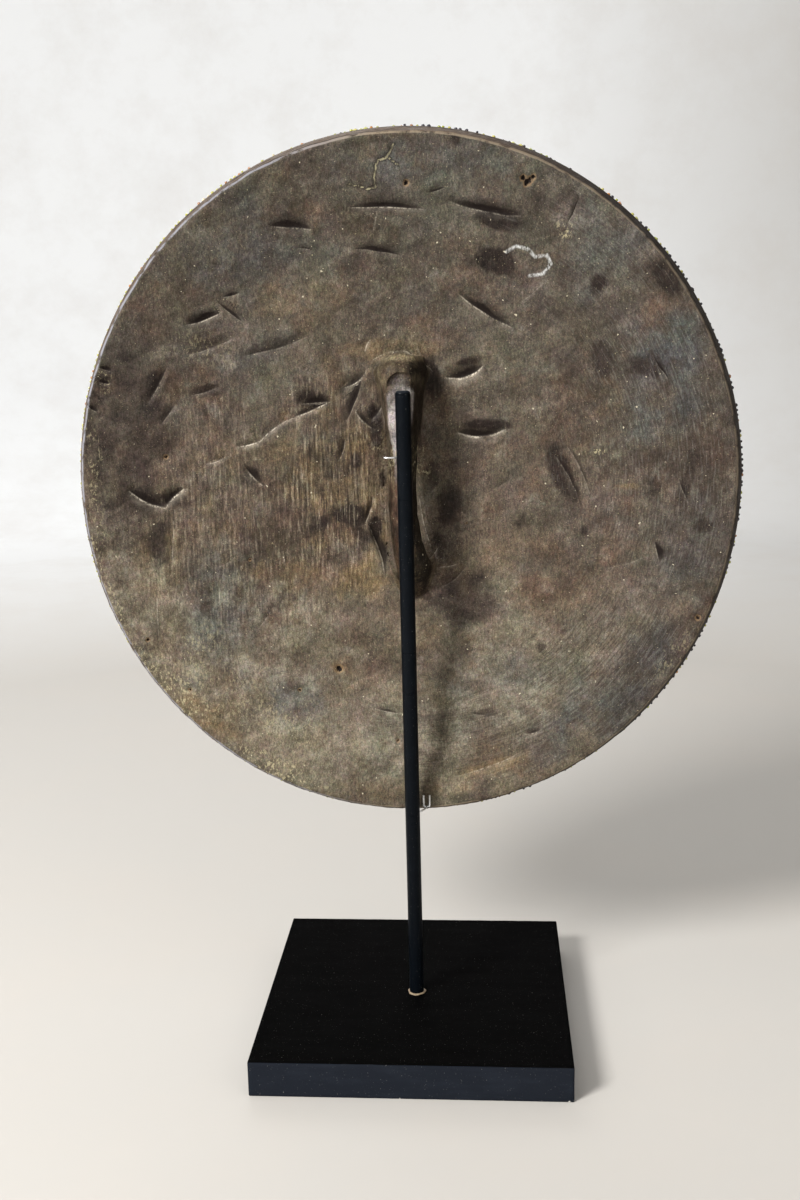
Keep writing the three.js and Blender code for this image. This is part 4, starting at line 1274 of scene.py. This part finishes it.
# Row of beads that shows round the rim, uneven, with gaps and a few larger beads, mostly lime on the left and
# half dark on the right, where the dark glass also stands for the shade on that side
def edge_row(random):
    count = int(np.pi * (HALF_WIDTH + 2) * (1 + STRETCH) / RIM_PITCH)
    angle = 2 * np.pi * (np.arange(count) + random.uniform(-0.25, 0.25, count)) / count
    big = random.uniform(0, 1, count) < BIG_SHARE
    size = np.where(big, BIG_BEAD, random.uniform(1.0, 1.7, count))
    swell = 0.6 * np.sin(angle * 9 + 1) + 0.4 * np.sin(angle * 23) - 0.1
    radius = HALF_WIDTH + 0.8 + EDGE_BEAD_PROUD * 0.5 - size + swell + random.uniform(-0.7, 0.7, count)
    radius = np.minimum(radius, HALF_WIDTH + EDGE_BEAD_PROUD - 0.15 - size)
    x, z = radius * np.cos(angle), radius * np.sin(angle) * STRETCH
    y = RIM_DEPTH + random.uniform(0.4, 2.2, count)
    threads = unit(np.stack([-np.sin(angle), random.uniform(-0.7, 0.7, count), np.cos(angle)], 1))
    outs = square_to(np.stack([np.cos(angle), np.zeros(count), np.sin(angle)], 1), threads)
    sizes = np.stack([size * 0.8, size, size], 1)
    # Dark beads on the right side: dark glass, and painted shade on the side away from the window
    left = np.cos(angle) < random.uniform(-0.25, 0.45, count)
    pick = random.uniform(0, 1, count)
    on_left = np.where(pick < 0.78, "lime", np.where(pick < 0.9, "amber", "cream"))
    on_right = np.where(pick < 0.5, "dark", np.where(pick < 0.62, "amber", "lime"))
    colour = np.where(left, on_left, on_right)
    keep = random.uniform(0, 1, count) > 0.2
    return [part[keep] for part in (np.stack([x, y, z], 1), threads, outs, sizes, colour)]


def make_beads():
    *parts, colour, radius = front_beads()
    *rim_parts, rim_colour = edge_row(np.random.RandomState(RIM_SEED))
    glass = {name: bead_material(name + "_glass", *tones) for name, tones in GLASS.items()}
    for band, (cad_node, low, high) in BANDS.items():
        for name, material in glass.items():
            pick = (colour == name) & (radius >= low) & (radius < high)
            if not pick.any():
                continue
            picked = (part[pick] for part in parts)
            piece = bead_mesh(band + "_" + name + "_beads", *picked, FRONT_SHADE_SEED)
            finish_piece(piece, material, name + "_beads", cad_node)
    for name, material in glass.items():
        pick = rim_colour == name
        row = bead_mesh("rim_" + name + "_beads", *(part[pick] for part in rim_parts), RIM_SHADE_SEED)
        finish_piece(row, material, name + "_beads", "edge_beads")


# Small chips low on the block's front: place along it and height in mm, and their size
CHIPS = {
    (-98, 5): 1.1, (-60, 0.5): 0.6, (-8, 0.6): 0.6, (72, 1.0): 0.8, (101, 1.4): 0.9, (117, 1.8): 1.0,
    (121, 0.8): 0.9,
}
BLOCK_EDGE, BLOCK_STEP, CORNER_WEAR = 1.0, 2.6, 0.22


def block_side(axis, sign, half, step):
    a, b = [i for i in range(3) if i != axis]
    lines = []
    for i in (a, b):
        count = max(6, int(2 * (half[i] - BLOCK_EDGE) / step))
        inner = np.linspace(-half[i] + BLOCK_EDGE, half[i] - BLOCK_EDGE, count)
        rounds = BLOCK_EDGE * np.array([0.0, 0.5])
        lines.append(np.concatenate([rounds - half[i], inner, half[i] - rounds[::-1]]))
    u, v = np.meshgrid(*lines)
    points = np.zeros((u.size, 3))
    points[:, a], points[:, b], points[:, axis] = u.ravel(), v.ravel(), sign * half[axis]
    return points, quads(np.arange(u.size).reshape(u.shape))


# The block's mesh: six sides rounded where they meet, with corners a little knocked in
def block_mesh(half):
    points, faces, start = [], [], 0
    for axis in range(3):
        for sign in (-1, 1):
            side, side_faces = block_side(axis, sign, half, BLOCK_STEP)
            points.append(side)
            faces.append(side_faces + start)
            start += len(side)
    points = np.concatenate(points)
    core = np.clip(points, -half + BLOCK_EDGE, half - BLOCK_EDGE)
    way = points - core
    way /= np.maximum(np.linalg.norm(way, axis=1), 1e-9)[:, None]
    corner = np.sum(np.abs(points - core) > 0.01, axis=1) > 1
    points = core + way * BLOCK_EDGE
    points -= way * (CORNER_WEAR * corner * np.abs(rough(points, 9, 95)))[:, None]
    points[:, 2] += half[2]
    block = mesh_object("painted_block", points, np.concatenate(faces))
    weld = bmesh.new()
    weld.from_mesh(block.data)
    bmesh.ops.remove_doubles(weld, verts=weld.verts, dist=0.02 * MM)
    bmesh.ops.recalc_face_normals(weld, faces=weld.faces)
    weld.to_mesh(block.data)
    weld.free()
    return block


# Stores the wear of the block's edges and the distance from its chips
def mark_block(block, half):
    places = np.empty(len(block.data.vertices) * 3)
    block.data.vertices.foreach_get("co", places)
    places = places.reshape(-1, 3) / MM
    near = held(1 - (half - np.abs(places - [0, 0, half[2]])) / 1.6)
    edge = np.sort(near, axis=1)[:, 1]
    paint(block, "wear", edge * (0.6 + 0.4 * rough(places, 20, 97)))
    chip = np.full(len(places), 9.0)
    for (x, z), size in CHIPS.items():
        gap = np.hypot(places[:, 0] - x, places[:, 2] - z) / size
        chip = np.minimum(chip, np.where(places[:, 1] < -half[1] + 1.5, gap, 9))
    measure(block, "chip_gap", chip)


def make_block():
    half = np.array([BASE_SIDE / 2, BASE_SIDE / 2, BASE_THICKNESS / 2])
    block = block_mesh(half)
    mark_block(block, half)
    satin = paint_material("black_block_paint", BLOCK_FRONT_LIT, BLOCK_TOP_SHADED,
                           worn_edges=True, gloss=0.01, least_rough=0.7)
    finish_piece(block, satin, "black_painted_wood", "base_block")


def make_rod():
    rod = rod_column("painted_rod", ROD_RADIUS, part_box("support_rod")[0].z / MM, ROD_TOP, 64, ROD_TIP_ROUND)
    satin = paint_material("black_rod_paint", ROD_FRONT, ROD_TIP_HIGHLIGHT,
                           worn_edges=False, gloss=0.06, least_rough=0.25)
    finish_piece(rod, satin, "black_painted_steel", "support_rod")


# Uneven ring of glue that has crept up round the rod's foot
def make_seal():
    turns = around(96)
    wave = 0.35 * np.sin(3 * turns + 1) + 0.2 * np.sin(7 * turns)
    low, high = (corner.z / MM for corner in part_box("foot_seal"))
    rings = []
    for reach, lift in ((0.0, 0.05), (0.0, 1.0), (0.35, 0.85), (0.75, 0.4), (1.0, 0.0)):
        radius = ROD_RADIUS + 0.1 + reach * (1.4 + wave)
        height = low + (high - low) * lift
        rings.append(ring_at(turns, radius, (0, -ROD_SETBACK, height)))
    finish_piece(ring_skin("glue_ring", rings), glue_material(), "glue", "foot_seal")


# Round wire through several places
def wire(name, places, radius):
    curve = bpy.data.curves.new(name, "CURVE")
    curve.dimensions = "3D"
    curve.bevel_depth = radius * MM
    curve.bevel_resolution = 4
    curve.use_fill_caps = True
    curve.resolution_u = 8
    spline = curve.splines.new("NURBS")
    spline.points.add(len(places) - 1)
    spline.use_endpoint_u = True
    spline.order_u = 3
    for point, place in zip(spline.points, places):
        point.co = (*(Vector(place) * MM), 1)
    drawn = put(name, curve)
    mesh = bpy.data.meshes.new_from_object(drawn)
    bpy.data.objects.remove(drawn, do_unlink=True)
    return put(name, mesh)


def make_wires():
    bright = wire_material()
    thin = WIRE * 0.45
    low, high = (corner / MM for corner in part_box("rim_clip"))
    left, right = high.x - 5.9, high.x - 0.9
    floor, top, y = low.z + 0.9, high.z - 0.1, high.y - 1.0
    middle = (left + right) / 2
    arm = [(low.x, -ROD_SETBACK, floor), (low.x + 1, -ROD_SETBACK, floor)]
    arm += [(middle - 0.5, y - 4, floor), (middle, y, floor)]
    prongs = [(left, y, top), (left, y, floor + 2), (left + 0.4, y, floor), (middle, y, floor)]
    prongs += [(right - 0.4, y, floor), (right, y, floor + 2), (right, y, top)]
    for name, places in (("rim_clip_arm", arm), ("rim_clip_prongs", prongs)):
        finish_piece(wire(name, places, thin), bright, "bright_wire", "rim_clip")
    low, high = (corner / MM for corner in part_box("handle_clip"))
    z = (low.z + high.z) / 2
    hook = [(high.x + 0.6, high.y - 7, z), (high.x - 2.5, low.y + 0.6, z - 0.2)]
    hook += [(low.x + 2.5, low.y + 0.9, z - 0.3), (low.x + 0.9, low.y + 3.5, z)]
    hook += [(low.x + 1.1, high.y - 0.8, z)]
    finish_piece(wire("handle_hook", hook, thin), bright, "bright_wire", "handle_clip")


# Seamless pale room that the stand is photographed in
FLOOR_REACH, WALL_REACH, WALL_HEIGHT = 2600.0, 3600.0, 3400.0


def make_stage():
    sweep = WALL_REACH - FLOOR_REACH
    profile = [(r, 0.0) for r in np.linspace(0, FLOOR_REACH, 10)[1:]]
    for t in np.linspace(0, np.pi / 2, 20)[1:]:
        profile.append((FLOOR_REACH + sweep * math.sin(t), sweep * (1 - math.cos(t))))
    profile.append((WALL_REACH, WALL_HEIGHT))
    turns = around(96)
    room = ring_skin("seamless_room", [ring_at(turns, r, (0, 0, z)) for r, z in profile], open_end=True)
    made, tree, shader = new_material("room_paper")
    place = coordinates(tree)
    away = node("ShaderNodeVectorMath", {0: place}, operation="LENGTH").outputs["Value"]
    stain = between(cloud(place, 3.2, 7, 0.7), 0.45, 0.75, 0, 0.25)
    # Darker near the stand and paler far away: painted light that makes up for the dimmer light on the far
    # floor and sweep
    colour = mix(between(away, 1.3, 2.9), ROOM_FLOOR, ROOM_WALL)
    # Painted shade: the room darker towards the right, where the window's light falls off
    aside = between(apart(place)[0], 0.2, 1.8)
    feed(shader, {
        "Base Color": layered(colour, (aside, ROOM_PAINTED_SHADE), (stain, ROOM_STAIN)),
        "Roughness": 0.9, "Specular IOR Level": 0.1})
    room.data.materials.append(made)


# Area lamp that points at a place, in mm
def lamp(name, place, target, size, power, colour):
    data = bpy.data.lights.new(name, "AREA")
    data.shape = "DISK"
    data.size = size * MM
    data.energy = power
    data.color = colour
    obj = put(name, data)
    obj.location = Vector(place) * MM
    obj.rotation_euler = (Vector(target) - Vector(place)).to_track_quat("-Z", "Y").to_euler()
    obj.visible_camera = False


# Lamps: place, target and size in mm, power in watts and colour
LAMPS = {
    "window": ((-1650, -1750, 1900), (0, 0, 380), 850, 130, (1.0, 0.985, 0.96)),
    "fill_right": ((1900, -1700, 1500), (0, 0, 400), 1800, 7, (1.0, 0.95, 0.87)),
    "back_fill": ((-600, 2200, 2000), (0, 0, 400), 1600, 16, (1.0, 0.99, 0.97)),
}
SKY_STRENGTH = 0.75


def make_lights():
    for name, settings in LAMPS.items():
        lamp(name, *settings)
    world = bpy.data.worlds.new("soft_sky")
    world.use_nodes = True
    sky = world.node_tree.nodes["Background"]
    sky.inputs[0].default_value = (1, 1, 1, 1)
    sky.inputs[1].default_value = SKY_STRENGTH
    bpy.context.scene.world = world
    bpy.context.scene.view_settings.view_transform = "Standard"


finish_piece(BOARD, wood_material(), "carved_wood", "shield_board")
make_beads()
make_block()
make_rod()
make_seal()
make_wires()
make_stage()
make_lights()
